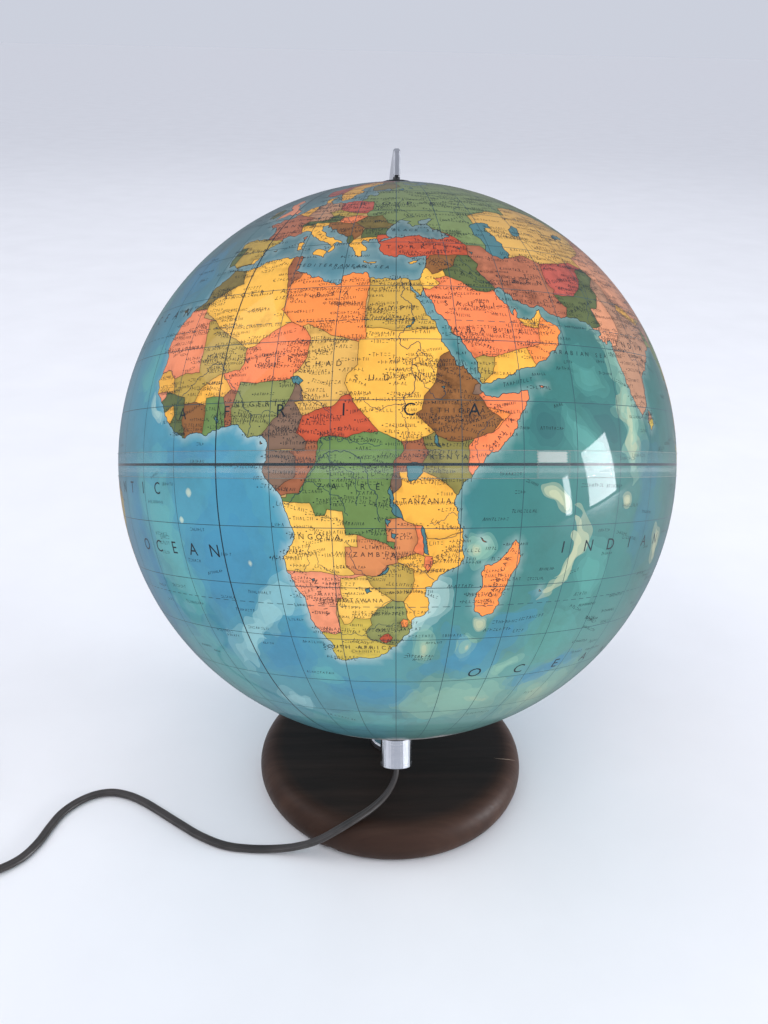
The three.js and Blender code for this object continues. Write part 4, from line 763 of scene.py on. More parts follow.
# Depth tints of the sea, drawn over each other from the first to the last.
TINTS = (
    ("deep", "-27,-3 -23,-3 -22,-12 -20,-20 -18,-27 -22,-27 -25,-18 -27,-10"),
    ("light", "-21,-1 -12,-1 -12,-10 -9,-18 -6,-27 -12,-35 -17,-27 -19,-18 -21,-9"),
    ("deep", "4,-2 7,-6 9,-12 8.5,-18 5,-22 0,-26 -5,-31 -9,-28 -7,-22 -9,-17 -7,-12 -2,-7"),
    ("pale", "10,-19 12.5,-22 11,-26 5,-29 1,-33 -2,-39 -6,-38 -5,-33 0,-28 5,-23 8,-20"),
    ("deep", "12.5,-25.5 13,-30 14.5,-34 12,-38 6,-39.5 0,-38.5 2,-33 6,-29.5 10,-27"),
    ("spot", "-7.2,-4.6 -6.4,-3.8 -5.6,-4.7 -6.4,-5.6"),
    ("spot", "-9.6,-9.4 -9,-8.7 -8.3,-9.4 -9,-10.1"),
    ("spot", "4.6,-16.2 5.1,-15.7 5.6,-16.3 5.1,-17"),
    ("light", "-25,-34 -12,-34 -6,-40 -8,-50 -20,-56 -32,-50"),
    ("pale", "-1,-46 4,-44.5 8,-46 7,-49.5 1,-50"),
    ("light", "-3,-52 18,-50 40,-54 30,-58 0,-58"),
    ("deep", "15,-41 24,-39.5 33,-41 33,-45 24,-47 16,-44"),
    ("light", "13,-37 17,-38 19,-40.5 15,-41 12,-39"),
    ("bank", "46.5,-45 50,-45.2 53.5,-46.2 52.5,-47.5 48.5,-46.8"),
    ("aqua", "37,-41.5 45,-40.5 53,-41 57,-44 56,-50 46,-52 34,-50.5 31,-46.5"),
    ("bank", "65.5,-45 71,-44.5 75,-47 75,-51 69,-51.5 66,-48.5"),
    ("aqua", "61,-42 70,-40.5 79,-43 84,-50 78,-56 65,-55 61,-49"),
    ("deep", """47.5,-26 56,-24.5 55.5,-29 51,-33 49,-38.5 36,-38.5 34.5,-36.4 38.8,-34.5 40,-27 43,-30
    46,-31"""),
    ("aqua", "41.3,-30.5 43,-29 45.5,-30.3 44.4,-33.5 42.4,-34.5 41.3,-33"),
    ("bank", "43,-31.5 43.9,-31 44,-32.4 43.2,-32.8"),
    ("aqua", "33.6,-28.6 36.4,-28 37.4,-31 36.2,-34.8 34.2,-34.3 33.6,-31"),
    ("bank", "34.6,-30.5 35.8,-30.5 36.1,-32.6 35.2,-34 34.5,-32.6"),
    ("bank", "43.8,-25.8 46,-26 46.3,-27.8 45,-28.6 44,-27.4"),
    ("shelf", "34.4,-19.6 38.5,-19.2 39,-21.5 37.3,-25.2 34.5,-27.5 31.5,-29.5 32,-25"),
    ("aqua", "41.7,-11 44.5,-11 46,-13.5 44.3,-15.2 42.6,-16.6 41.8,-14.4"),
    ("bank", "42,-12.6 43.5,-12.8 43.6,-14.4 42.2,-14.6"),
    ("aqua", "50.6,-36.4 55.3,-34.6 56.4,-36.2 52,-39.5 50.3,-38.6"),
    ("abyss", "51.5,9 54,9.9 56.8,8.4 57.4,5 55.4,2.6 52.8,2.8 50.9,5.6"),
    ("abyss", "61,9.4 67.5,10 70.5,6 70.8,2.5 69,1.8 65.5,5.4"),
    ("haze", "58.4,9.2 62,6.2 65.6,3.6 67,0.3 62.5,0.6 59,3.6 57.8,7"),
    ("haze", "60.6,17.2 66,16.8 68,12.8 64,12 60.6,13.4"),
    ("aqua", "68,22.8 72.6,20.6 74.2,13 77.2,7.6 76.4,0.5 73.4,-1.4 72.6,6 71.4,14"),
    ("bank", "72.2,12 73.6,12.3 74.4,5.6 73.8,0.6 72.8,1.2 72.9,6"),
    ("bank", "53.4,-3.6 55.5,-3.2 57.2,-4.4 58.8,-7.3 58,-7.6 56,-5.6 54,-5"),
    ("bank", """59.6,-8 61.6,-8.8 63.8,-11.5 62.8,-15 60.9,-18.9 58.6,-20.9 55.8,-21.6 59,-18.4 60.6,-14.6
    61,-11.4"""),
    ("haze", "63.5,-13 68.4,-14.6 69.6,-20 68.2,-24.4 65.4,-24.8 63.6,-20 62.4,-17"),
    ("bank", "71.2,-5.4 73.2,-5 73.6,-6.8 71.8,-7.2"),
    ("gulf", "75,2 83,4 84,-14 79,-18 75.6,-14 76.6,-6"),
    ("bank", "85.2,-11 88.5,-12.4 89.8,-17.2 88.6,-18.2 86.2,-15.4"),
    ("haze", "57,-26 66,-27 68,-34 60,-38 56.4,-33"),
    ("deep", "57.5,-40 68,-36 74,-38 66,-42.5 58.5,-43.5"),
    ("light", "-22,22 -18.6,20 -18.6,13 -22,11 -26,16"),
    ("shelf", "-17.6,12.6 -18.4,10 -16.4,8 -14.4,7 -14,9"),
    ("deep", "-12,3 -2,3.4 3,2.4 1,0.4 -12,0.3"),
    ("deep", "-28,44 -16,44 -13,36 -20,30 -29,34"),
    ("deep", "-60,30 -45,34 -42,20 -52,12 -64,20"),
    ("light", "-40,52 -30,60 -22,58 -28,40 -36,26 -44,30"),
    ("deep", "-35,-12 -28,-10 -26,-30 -38,-38 -44,-32"),
    ("deep", "-120,10 -100,14 -92,-4 -104,-30 -128,-24 -136,-6"),
    ("light", "-112,-2 -104,0 -108,-30 -120,-46 -126,-30"),
    ("deep", "150,34 168,38 176,18 160,8 146,14"),
    ("deep", "-165,42 -138,40 -134,18 -158,10"),
    ("light", "160,-4 176,-6 178,-20 164,-24 156,-12"),
    ("gulf", "92,-14 108,-16 106,-30 94,-32"),
    ("deep", "96,-42 128,-40 138,-48 112,-54"),
    ("deep", "-160,-30 -138,-34 -140,-52 -164,-50"),
)

RIVERS = (
    (0.5, "31,31.4 31.2,30.1 30.8,28 31.7,27 32.7,26.1 32.6,25 32.9,24.1"),
    (0.5, """31.5,21.9 30.4,20.4 30.6,19.2 31.8,18.2 33.3,19.5 33.9,18 33,16.6 32.5,15.6 32.7,14 32.8,12.3
    32.1,10.8 31.4,9.5"""),
    (0.4, "32.5,15.6 33.6,14.4 34.4,12 35.3,11 36,10.2 37.6,10.8 37.3,11.7"),
    (0.4, "34,17.7 35.4,16 36,14.4"),
    (0.4, "31.4,9.5 30.6,8 31.4,6.6 31.8,5 31.6,3.7 31.4,2.3"),
    (0.35, "31.4,9.5 29.8,9.3 28,8.6 26.4,8.8 25.2,9.7 24.4,10.3"),
    (0.5, """6.2,4.5 6.7,6 6.7,7.8 5.2,9 4.8,10.5 4,11.8 2.6,12.6 1.8,13.8 0.4,15.6 -0.6,16.8 -2.6,16.7
    -4.4,14.8 -6.6,13.4 -8.4,12 -9.8,10.3"""),
    (0.35, "6.7,7.8 8.6,7.9 10.4,8.4 12.2,9.2 13.4,9.2"),
    (0.35, "14.7,13 15.1,12 16.2,11 17.6,10 18.6,9.2 19.8,8"),
    (0.35, "15.1,12 14.9,11 15.4,9.8 16,8.6"),
    (0.5, """12.4,-6 13.8,-5.6 15.3,-4.3 16.2,-2.6 17.6,-0.6 18.2,0.8 19.4,1.7 21.2,2.1 23,1.9 24.6,0.9
    25.4,-0.4 25.8,-2.4 26.8,-4.4 27,-6 27.2,-7.6 27.6,-9"""),
    (0.4, "18.2,0.8 18.4,2.4 18.6,4.2 20.4,4.3 22.4,4 24,3.4 26,3.2 28,3.1"),
    (0.4, "16.2,-2.6 18,-3.4 19.8,-4.2 21.2,-4.8 22,-6.2 22.6,-8"),
    (0.4, "19.4,1.7 21,0 22.6,-1 24,-2.4 24.4,-4.2 24,-6.4"),
    (0.4, """36.2,-18.6 35.2,-17.8 34,-16.8 32.6,-15.7 30.6,-15.6 29,-15.9 28.2,-16.6 26.8,-17.9 25.2,-17.9
    24,-16.9 23.2,-15.4 23,-13.6 22.6,-12"""),
    (0.4, "16.5,-28.6 18,-28.8 20,-28.5 22,-28.9 24,-29.1 25.6,-30.1 27,-30.4"),
    (0.35, "24,-29.1 25,-27.9 26.6,-27 28.4,-26.9 29.6,-26.5"),
    (0.35, "33.5,-25.2 32.8,-24 32,-23.2 30.8,-22.3 29,-22.3 27.4,-23.6"),
    (0.35, "11.8,-17.2 13.4,-17 15,-17.4 15.8,-16.2 15.8,-14.6 16.2,-13"),
    (0.35, "21,-18.2 20,-17.4 18.4,-16.6 17.4,-15 17,-13.6"),
    (0.35, "42.6,-0.3 42.4,1.4 42,3 42.6,4.8 44,6.2 45.2,7.6"),
    (0.35, "39.3,-8 37.8,-8 36.6,-9 35.2,-9.2"),
    (0.35, "40.4,-10.6 38.8,-11.4 37.4,-11.6 36,-11.6"),
    (0.35, "-16.5,16 -14.6,16.6 -13.2,15.8 -12,14.7 -11.2,13.2"),
    (0.35, "48.4,30.4 47.4,31 45.4,31.2 43.8,32.8 42,34.2 40.4,34.9 38.4,36.4 38.4,38.2"),
    (0.35, "47.4,31 46.6,32.4 44.6,33.4 43.6,35 42.4,37"),
    (0.35, "67.4,24 68.2,26 69,28 70.6,29.6 71.4,32 72,34"),
    (0.35, "29.6,45.2 27.4,44 24,43.7 22.6,44.4 20.4,45 18.8,46.6 18,47.8 15,48.3 12,48.8 9.6,48.4"),
    (0.35, "47.8,46 46.4,48 45.6,50.4 48,52.4 49,54.6 46,56.2 42,57 38,57.4"),
    (0.35, "31.4,46.6 34.6,47.6 33,49 30.6,50.6 30.8,53 32,55"),
    (0.35, "59,43.8 61.4,41.6 64,39 66.8,37.4"),
    (0.35, "61.4,46 65,44.6 67.8,42.6 69.6,41"),
    (0.35, "88.6,22 88,24.6 85,25.6 81.6,25.8 78.6,28"),
    (0.35, "82,17 80,18.6 77.6,19.2 75,20"),
    (0.4, "-50.5,0 -54,-2 -58,-2.8 -62,-3.6 -66,-2.6 -70,-4 -74,-4.6"),
    (0.4, "-90,29.4 -91,32 -89.6,36 -90.6,39 -91.4,42 -94,46.6"),
)

# Mountains: (how strong, half width in degrees, a line along the range).
RANGES = (
    (1.0, 2.4, "37,14.5 38.5,12 38,9.5 37,7.2"),
    (0.8, 1.8, "40,9.3 42.6,9.2"),
    (0.7, 1.4, "35.4,1 36.6,-0.4 36.8,-3.2"),
    (0.7, 1.2, "29.4,1 29.2,-2 28.8,-4.6"),
    (0.8, 1.0, "48.9,-14.5 47.9,-18 47.2,-21.6 46.8,-23.4"),
    (0.8, 1.2, "28.6,-31 29.4,-29 30.2,-26.4"),
    (0.5, 1.0, "20,-33.3 23,-33.4 26,-32.6"),
    (0.6, 1.3, "-8,30.6 -5,32.2 0,34.4 5,35.6 8,35.8"),
    (0.8, 1.4, "16.4,20.8 18.4,20.4"),
    (0.6, 1.4, "5.4,23 6.8,24.2"),
    (0.5, 1.1, "8.2,18.2 8.6,19.6"),
    (0.6, 1.2, "10.6,5.6 13,7.6 13.6,9.4"),
    (0.5, 1.1, "24,13 24.6,14"),
    (0.6, 1.2, "34,-10.4 34.4,-13.6 35.4,-15.8"),
    (0.5, 1.4, "13.8,-10 14.6,-14 14,-17"),
    (0.5, 1.3, "15.6,-19 16.6,-23 17.4,-26"),
    (0.7, 1.1, "41,20 43,17 44.4,14.6"),
    (0.9, 1.8, "44,38.6 46.6,35.4 49.6,32.4 52.6,29.6 56,28.4"),
    (0.8, 1.4, "49,37.2 52,36.2 56,37"),
    (0.8, 1.4, "30,37.6 34,37.4 38,38.4 42,39.6"),
    (0.7, 1.3, "32,41 36,40.8 40.6,40.6"),
    (1.0, 1.1, "40,43.6 44,42.8 47.6,41.4"),
    (0.9, 2.4, "66,34.6 70,36.4 74,36.8"),
    (1.0, 2.6, "75,35.4 79,32 84,29.4 90,28.4 96,29.4"),
    (0.7, 2.2, "73,40.4 78,42 84,43.6"),
    (0.7, 1.1, "74,15 75.4,12 77,9.6"),
    (0.9, 1.2, "6.6,44.4 7.6,46 11,46.9 14.4,47"),
    (0.7, 1.1, "16,44.6 19,43 21.4,40.6 22,38.6"),
    (0.7, 1.0, "-1,42.9 2,42.4"),
    (0.6, 1.6, "-5,42.6 -4,40.4 -3,37.4"),
    (0.7, 0.9, "9.6,44.3 13,42.8 15.6,40.6"),
    (0.7, 1.1, "19.6,49.2 24.4,48 25.4,45.6 22.6,45.4"),
    (0.6, 1.3, "8,61 13,64 19,68.4"),
    (0.6, 1.2, "58,52 59.6,58 60,64"),
    (0.7, 2.6, "90,50 98,52 110,56"),
    (0.9, 1.8, "-78,0 -77,-8 -72,-15 -68,-20 -70,-30 -71,-40 -73,-49"),
    (0.8, 2.6, "-114,36 -111,42 -114,48 -122,54 -132,60"),
    (0.6, 1.2, "-83,35 -78,39 -74,43"),
    (0.6, 1.2, "151,-31 148,-24 146,-18"),
)


# ---- building the map ----
COLOURS = {
    "red": (205, 92, 62), "orange": (255, 150, 78), "olive": (196, 166, 80), "yellow": (255, 205, 98),
    "pink": (250, 160, 122), "leaf": (146, 152, 92), "lime": (214, 190, 84), "salmon": (250, 138, 88),
    "gold": (252, 188, 78), "green": (112, 144, 84), "clay": (166, 104, 74), "mauve": (134, 108, 92),
    "brown": (148, 100, 58), "moss": (98, 112, 70), "salmon_light": (255, 154, 112),
    "khaki": (128, 114, 64), "gold_light": (255, 196, 84), "olive_light": (212, 172, 80),
    "khaki_light": (232, 184, 98), "clay_red": (182, 112, 84), "rose": (196, 94, 82),
    "orange_dull": (236, 164, 124), "brown_pale": (194, 146, 116), "sage": (128, 150, 98),
    "khaki_green": (140, 134, 74), "copper": (220, 142, 90), "ice": (236, 238, 238),
    "plain": (214, 176, 110),
}
# each tint's colour and how strongly it covers the sea
TINT_COLOURS = {
    "deep": ((66, 142, 184), 0.5), "light": ((104, 184, 184), 0.5), "pale": ((158, 212, 220), 0.7),
    "aqua": ((140, 186, 168), 0.7), "bank": ((192, 200, 166), 0.76), "spot": ((200, 222, 206), 0.8),
    "shelf": ((176, 212, 210), 0.75), "abyss": ((44, 94, 100), 0.5), "gulf": ((52, 118, 142), 0.5),
    "haze": ((88, 160, 154), 0.5),
}
LAKE_COLOUR = (80, 130, 140)
HALO_COLOUR = (206, 224, 222)
COAST_ROUGHNESS, BORDER_ROUGHNESS, DEPTH_ROUGHNESS = 0.11, 0.035, 0.2
DEPTH_STEPS = ((1.22, 0.4), (1, 0.62), (0.62, 0.75))
FRONT_BOX = (-32, -58, 108, 60)
GRID_STEP, POLAR_STEP = 1.5, 12
LAKE, SEA, PLAIN_LAND = -2, -1, 0
COAST_WIDTH, BORDER_WIDTH, HALO_WIDTH = 0.26 * MM, 0.2 * MM, 0.75
BORDER_SHADE, BEACH_WIDTH = 0.8, 0.05
LINE_LIFT = 0.06 * MM
LONGEST_WANDER = 8


def outline(text):
    return [tuple(float(v) for v in pair.split(",")) for pair in text.split()]


def in_front(p):
    return FRONT_BOX[0] < p[0] < FRONT_BOX[2] and FRONT_BOX[1] < p[1] < FRONT_BOX[3]


def wander(a, b, rough, shortest):
    """Points from a up to b along a natural-looking line, the same whichever way it is walked."""
    length = math.hypot(b[0] - a[0], b[1] - a[1])
    if length < shortest:
        return [a]
    low, high = sorted((a, b))
    draw = random.Random(f"{low[0]:.4f} {low[1]:.4f} {high[0]:.4f} {high[1]:.4f}").gauss(0, rough)
    draw *= min(1, LONGEST_WANDER / length)
    x = (low[0] + high[0]) / 2 - (high[1] - low[1]) * draw
    y = (low[1] + high[1]) / 2 + (high[0] - low[0]) * draw
    middle = (round(x, 5), round(y, 5))
    return wander(a, middle, rough, shortest) + wander(middle, b, rough, shortest)


def natural(points, rough, closed=True, fine=0.42, coarse=1.6):
    """An outline or a line made natural, finer in front."""
    out = []
    pairs = zip(points, points[1:] + points[:1]) if closed else zip(points, points[1:])
    for a, b in pairs:
        out += wander(a, b, rough, fine if in_front(a) or in_front(b) else coarse)
    return out if closed else out + [points[-1]]


def softened(points, passes):
    """An outline with its corners cut, as a depth line is drawn."""
    for _ in range(passes):
        cut = []
        for a, b in zip(points, points[1:] + points[:1]):
            cut.append((a[0] * 0.75 + b[0] * 0.25, a[1] * 0.75 + b[1] * 0.25))
            cut.append((a[0] * 0.25 + b[0] * 0.75, a[1] * 0.25 + b[1] * 0.75))
        points = cut
    return points


def depth_line(text, scale):
    """An outline drawn as an uneven depth line, swelled or shrunk about its middle."""
    points = outline(text)
    mx, my = (sum(axis) / len(points) for axis in zip(*points))
    points = [(mx + (x - mx) * scale, my + (y - my) * scale) for x, y in points]
    return stretched(softened(natural(points, DEPTH_ROUGHNESS, fine=2.2, coarse=4), 2))


def stretched(points):
    return [(stretch(lon), lat) for lon, lat in points]


def inside(points, polygon):
    """Which of the points lie in the polygon, as a mask."""
    shape = np.array(polygon)
    x, y = points[:, 0], points[:, 1]
    near = (points >= shape.min(0)) & (points <= shape.max(0))
    index = np.nonzero(near.all(1))[0]
    px, py = x[index], y[index]
    odd = np.zeros(len(index), bool)
    for (x0, y0), (x1, y1) in zip(shape, np.roll(shape, -1, 0)):
        if y0 != y1:
            crosses = ((y0 > py) != (y1 > py)) & (px < (x1 - x0) * (py - y0) / (y1 - y0) + x0)
            odd ^= crosses
    mask = np.zeros(len(points), bool)
    mask[index[odd]] = True
    return mask


def grid_points():
    """A regular net over the sphere, with rows at the equator and the rims."""
    points = []
    lats = sorted({SOUTH_RIM, NORTH_RIM, 0.0} | {float(v) for v in np.arange(-84, 87, GRID_STEP)})
    for lat in lats:
        middle = math.cos(math.radians(lat))
        lon = SEAM_WEST
        while lon < SEAM_EAST - 0.3:
            points.append((lon, lat))
            lon += GRID_STEP / middle if middle > 0.09 else POLAR_STEP
        points.append((SEAM_EAST, lat))
    return points


def triangulate(lines):
    """Constrained triangles over the whole map, as arrays of points and corner numbers."""
    points, edges = grid_points(), []
    equator = [i for i, p in enumerate(points) if p[1] == 0]
    edges += list(zip(equator, equator[1:]))
    for line in lines:
        first = len(points)
        points += [(min(SEAM_EAST, max(SEAM_WEST, x)), min(NORTH_RIM, max(SOUTH_RIM, y))) for x, y in line]
        edges += [(i, i + 1) for i in range(first, len(points) - 1)] + [(len(points) - 1, first)]
    verts, _, faces, *_ = delaunay_2d_cdt([Vector(p) for p in points], edges, [], 0, 1e-5, False)
    verts = np.array([tuple(v) for v in verts])
    faces = np.array([f for f in faces if len(f) == 3])
    a, b, c = (verts[faces[:, k]] for k in range(3))
    area = (b[:, 0] - a[:, 0]) * (c[:, 1] - a[:, 1]) - (b[:, 1] - a[:, 1]) * (c[:, 0] - a[:, 0])
    faces[area < 0] = faces[area < 0][:, ::-1]
    return verts, faces[np.abs(area) > 1e-9]


def step_at(values, middle, width):
    """A smooth step from 0 up to 1 about the middle, or down where the width is negative."""
    return 1 / (1 + np.exp(-(values - middle) / width))


def blend(a, b, share):
    """Two colours mixed by a share for each place."""
    return a * (1 - share)[:, None] + b * share[:, None]


def sea_colours(points):
    """The open sea's tint at each place. The shift from blue in the west to green in the east is painted
    light, the cool daylight from the left; the sea is also greyer to the north and paler to the south.
    """
    lon, lat = points[:, 0], points[:, 1]
    atlantic = np.array(linear((80, 156, 182)))
    indian = np.array(linear((58, 122, 120)))
    southern = np.array(linear((108, 164, 160)))
    north = np.array(linear((90, 128, 138)))
    # The east-west shift in hue is painted light: bluer where daylight falls from the left.
    east = step_at(lon, 33, 5) * step_at(lon, 140, -6)
    south = step_at(lat, -31, -6) * (0.35 + 0.65 * east)
    return blend(blend(blend(atlantic, indian, east), southern, south), north, step_at(lat, 30, 4))


def relief_at(points):
    """How mountainous each place is, 0 to 1."""
    height = np.zeros(len(points))
    for strong, half, text in RANGES:
        line = stretched(outline(text))
        for (x0, y0), (x1, y1) in zip(line, line[1:]):
            dx, dy = x1 - x0, y1 - y0
            t = np.clip(((points[:, 0] - x0) * dx + (points[:, 1] - y0) * dy) / (dx * dx + dy * dy), 0, 1)
            gap = np.hypot(points[:, 0] - x0 - t * dx, points[:, 1] - y0 - t * dy)
            height = np.maximum(height, strong * np.exp(-((gap / half) ** 2)))
    return height


GLOW = 0.68
HILL_SHADES = ((0.38, 0.5), (0.5, 0.88), (0.6, 1.12))
PAPER_MOTTLE = ((0.36, (0.9, 0.84, 0.8)), (0.5, (1.0, 0.97, 0.95)), (0.64, (1.04, 1.04, 1.0)))
# how each of these falls off from where the globe faces the eye to its limb
# The print's colour is dimmed, and painted darker towards the limb as painted shade.
PRINT_LIMB_SHADE = ((0.0, 0.4), (0.5, 0.38), (0.75, 0.3), (0.95, 0.16))
LAMPLIGHT = ((0.0, 1.0), (0.25, 0.95), (0.5, 0.76), (0.75, 0.46), (0.95, 0.2))
GLOSS = ((0.0, 0.45), (0.6, 0.42), (0.85, 0.24), (0.98, 0.1))


def printed_look():
    """Glossy plastic over a printed map that the lamp shines through."""
    look = Look("printed_globe", Roughness=0.5, Coat_Roughness=0.035, Coat_IOR=1.36, Specular_IOR_Level=0.1)
    colour = look.node("Attribute", attribute_name="print").outputs["Color"]
    relief = look.node("Attribute", attribute_name="relief").outputs["Fac"]
    hills = look.ramp(look.noise(190, 6, turn=(0.5, 0.3, 0), rough=0.68), *HILL_SHADES)
    mottle = look.ramp(look.noise(24, 7, rough=0.7), *PAPER_MOTTLE)
    printed = look.mix(1, look.mix(relief, colour, hills, "MULTIPLY"), mottle, "MULTIPLY")
    facing = look.node("LayerWeight", Blend=0.5).outputs["Facing"]
    # The print, dimmed more towards the limb: painted shade.
    look.colour(look.mix(1, printed, look.ramp(facing, *PRINT_LIMB_SHADE), "MULTIPLY"))
    lit = look.mix(1, printed, look.ramp(facing, *LAMPLIGHT), "MULTIPLY")
    look.link(lit, look.shader.inputs["Emission Color"])
    look.shader.inputs["Emission Strength"].default_value = GLOW
    look.link(look.ramp(facing, *GLOSS), look.shader.inputs["Coat Weight"])
    return look.bump(look.noise(38, 2), 0.05, 0.0008)


def ink(name, colour):
    """Printing ink under the globe's gloss."""
    gloss = {"Coat_Weight": 0.3, "Coat_Roughness": 0.04, "Coat_IOR": 1.36}
    return Look(name, Base_Color=(*colour, 1), Roughness=0.5, Specular_IOR_Level=0.1, **gloss)


INK = ink("map_ink", (0.012, 0.022, 0.03))
BORDER_INK = ink("border_ink", (0.06, 0.03, 0.02))
RIVER_INK = ink("river_ink", (0.02, 0.05, 0.075))
NET_INK = ink("net_ink", (0.03, 0.075, 0.09))


class Ribbons:
    """Many thin printed strokes, gathered into one piece."""

    def __init__(self):
        self.points, self.faces, self.normals = [], [], []

    def rung(self, centre, side, normal):
        """Two points, one at either side of a line."""
        self.points += [centre - side, centre + side]
        self.normals += [normal, normal]

    def quad(self, a):
        """A face between one rung and the next, from the first one's number."""
        self.faces.append((a, a + 1, a + 3, a + 2))

    def stroke(self, a, b, width, tails=0.25):
        """A straight stroke between two places, as (longitude, latitude) on the sphere."""
        start, end = direction(*a), direction(*b)
        along = end - start
        if along.length < 1e-7:
            return
        along.normalize()
        self.quad(len(self.points))
        for n, sign in ((start, -1), (end, 1)):
            side = along.cross(n).normalized() * width / 2
            centre = GLOBE_CENTRE + n * (GLOBE_RADIUS + LINE_LIFT) + along * sign * width * tails
            self.rung(centre, side, n)

    def line(self, places, width, lift=LINE_LIFT):
        """A joined line through the places."""
        normals = [direction(*p) for p in places]
        last = len(places) - 1
        for i, n in enumerate(normals):
            along = (normals[min(i + 1, last)] - normals[max(i - 1, 0)]).normalized()
            if i < last:
                self.quad(len(self.points))
            self.rung(GLOBE_CENTRE + n * (GLOBE_RADIUS + lift), along.cross(n).normalized() * width / 2, n)

    def flat(self, places, faces, lift=LINE_LIFT):
        """A flat figure, such as a letter."""
        first = len(self.points)
        for p in places:
            n = direction(*p)
            self.points.append(GLOBE_CENTRE + n * (GLOBE_RADIUS + lift))
            self.normals.append(n)
        self.faces += [tuple(first + v for v in f) for f in faces]

    def finish(self, name, look):
        return piece(name, self.points, self.faces, look, "globe", "printed_globe", self.normals)


WALL_ROWS, WALL_SIDES = 30, 90
INSIDE_COLOUR = (0.75, 0.72, 0.66)


def wall_rings(edge_lat, rim_lat):
    """A shell's inner wall and its two rims, as the radius and latitude of each ring."""
    lats = [edge_lat + (rim_lat - edge_lat) * k / WALL_ROWS for k in range(WALL_ROWS + 1)]
    inner = [(GLOBE_RADIUS - SHELL, lat) for lat in lats]
    return [(GLOBE_RADIUS, edge_lat), *inner, (GLOBE_RADIUS, lats[-1])]


def shell_piece(name, node, verts, faces, colours, relief, look, edge_lat, rim_lat):
    """One hemisphere: the printed skin, the wall inside and the rims between them."""
    used, corners = np.unique(faces, return_inverse=True)
    places = verts[used].copy()
    places[np.abs(places[:, 1]) < 1e-6, 1] = edge_lat
    normals = [direction(*p) for p in places]
    points = [GLOBE_CENTRE + n * GLOBE_RADIUS for n in normals]
    skin = [tuple(f) for f in corners.reshape(faces.shape).tolist()]
    first = len(points)
    rings = wall_rings(edge_lat, rim_lat)
    for radius, lat in rings:
        for k in range(WALL_SIDES):
            n = direction(360 * k / WALL_SIDES, lat)
            points.append(GLOBE_CENTRE + n * radius)
            normals.append(-n)
    wall = strip_faces(len(rings), WALL_SIDES, closed_columns=True, start=first)
    if rim_lat > 0:
        wall = [tuple(reversed(f)) for f in wall]
    shell = piece(name, points, skin + wall, look, "globe", "printed_globe", normals)
    tint = np.ones((len(skin) * 3 + len(wall) * 4, 4), np.float32)
    tint[:, :3] = INSIDE_COLOUR
    tint[: len(skin) * 3, :3] = colours.reshape(-1, 3)
    attribute = shell.data.color_attributes.new("print", "FLOAT_COLOR", "CORNER")
    attribute.data.foreach_set("color", tint.ravel())
    heights = np.zeros(len(points), np.float32)
    heights[:first] = relief[used]
    shell.data.attributes.new("relief", "FLOAT", "POINT").data.foreach_set("value", heights)
    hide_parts(node)


def in_any(middles, shapes):
    """Which faces lie in any of the shapes, as a mask."""
    mask = np.zeros(len(middles), bool)
    for shape in shapes:
        mask |= inside(middles, shape)
    return mask


def face_kinds(middles, land, lakes, countries):
    """What each face is: LAKE, SEA, PLAIN_LAND, or the number of its country from 1 on."""
    is_land = in_any(middles, land)
    in_lake = in_any(middles, lakes) & is_land
    ground = is_land & ~in_lake
    kind = np.where(ground, PLAIN_LAND, np.where(in_lake, LAKE, SEA))
    for number, (_, shape) in enumerate(countries, 1):
        kind[(kind == PLAIN_LAND) & inside(middles, shape)] = number
    return kind


def draw_edges(verts, faces, kind):
    """A coast or a border along every edge between two kinds of face, and the points on each."""
    sides = {}
    for face, (a, b, c) in enumerate(faces.tolist()):
        for i, j in ((a, b), (b, c), (c, a)):
            sides.setdefault((min(i, j), max(i, j)), []).append(face)
    coast = (Ribbons(), set(), COAST_WIDTH)
    border = (Ribbons(), set(), BORDER_WIDTH)
    for (i, j), pair in sides.items():
        kinds = [kind[face] for face in pair]
        if len(kinds) == 2 and kinds[0] != kinds[1]:
            lines, points, width = coast if min(kinds) < 0 else border
            lines.stroke(tuple(verts[i]), tuple(verts[j]), width)
            points.update((i, j))
    return coast[:2], border[:2]


def paint_faces(verts, faces, middles, kind, countries, tints, gap, border_points):
    """The colour of every face's three corners."""
    colours = sea_colours(verts[faces].reshape(-1, 2)).reshape(-1, 3, 3)
    sea, ground = kind == SEA, kind >= PLAIN_LAND
    for name, share, shape in tints:
        mask = inside(middles, shape) & sea
        colour, strength = TINT_COLOURS[name]
        strength *= share
        colours[mask] = colours[mask] * (1 - strength) + np.array(linear(colour)) * strength
    halo = np.exp(-((gap[faces] / HALO_WIDTH) ** 2)) * halo_strength(verts)[faces]
    halo = halo[sea][..., None]
    colours[sea] = colours[sea] * (1 - halo) + np.array(linear(HALO_COLOUR)) * halo
    colours[kind == LAKE] = linear(LAKE_COLOUR)
    table = np.array([linear(COLOURS[name]) for name in ["plain"] + [name for name, _ in countries]])
    colours[ground] = table[kind[ground]][:, None, :]
    shade = np.ones(len(verts))
    shade[list(border_points)] = BORDER_SHADE
    colours[ground] *= shade[faces[ground]][..., None]
    return colours


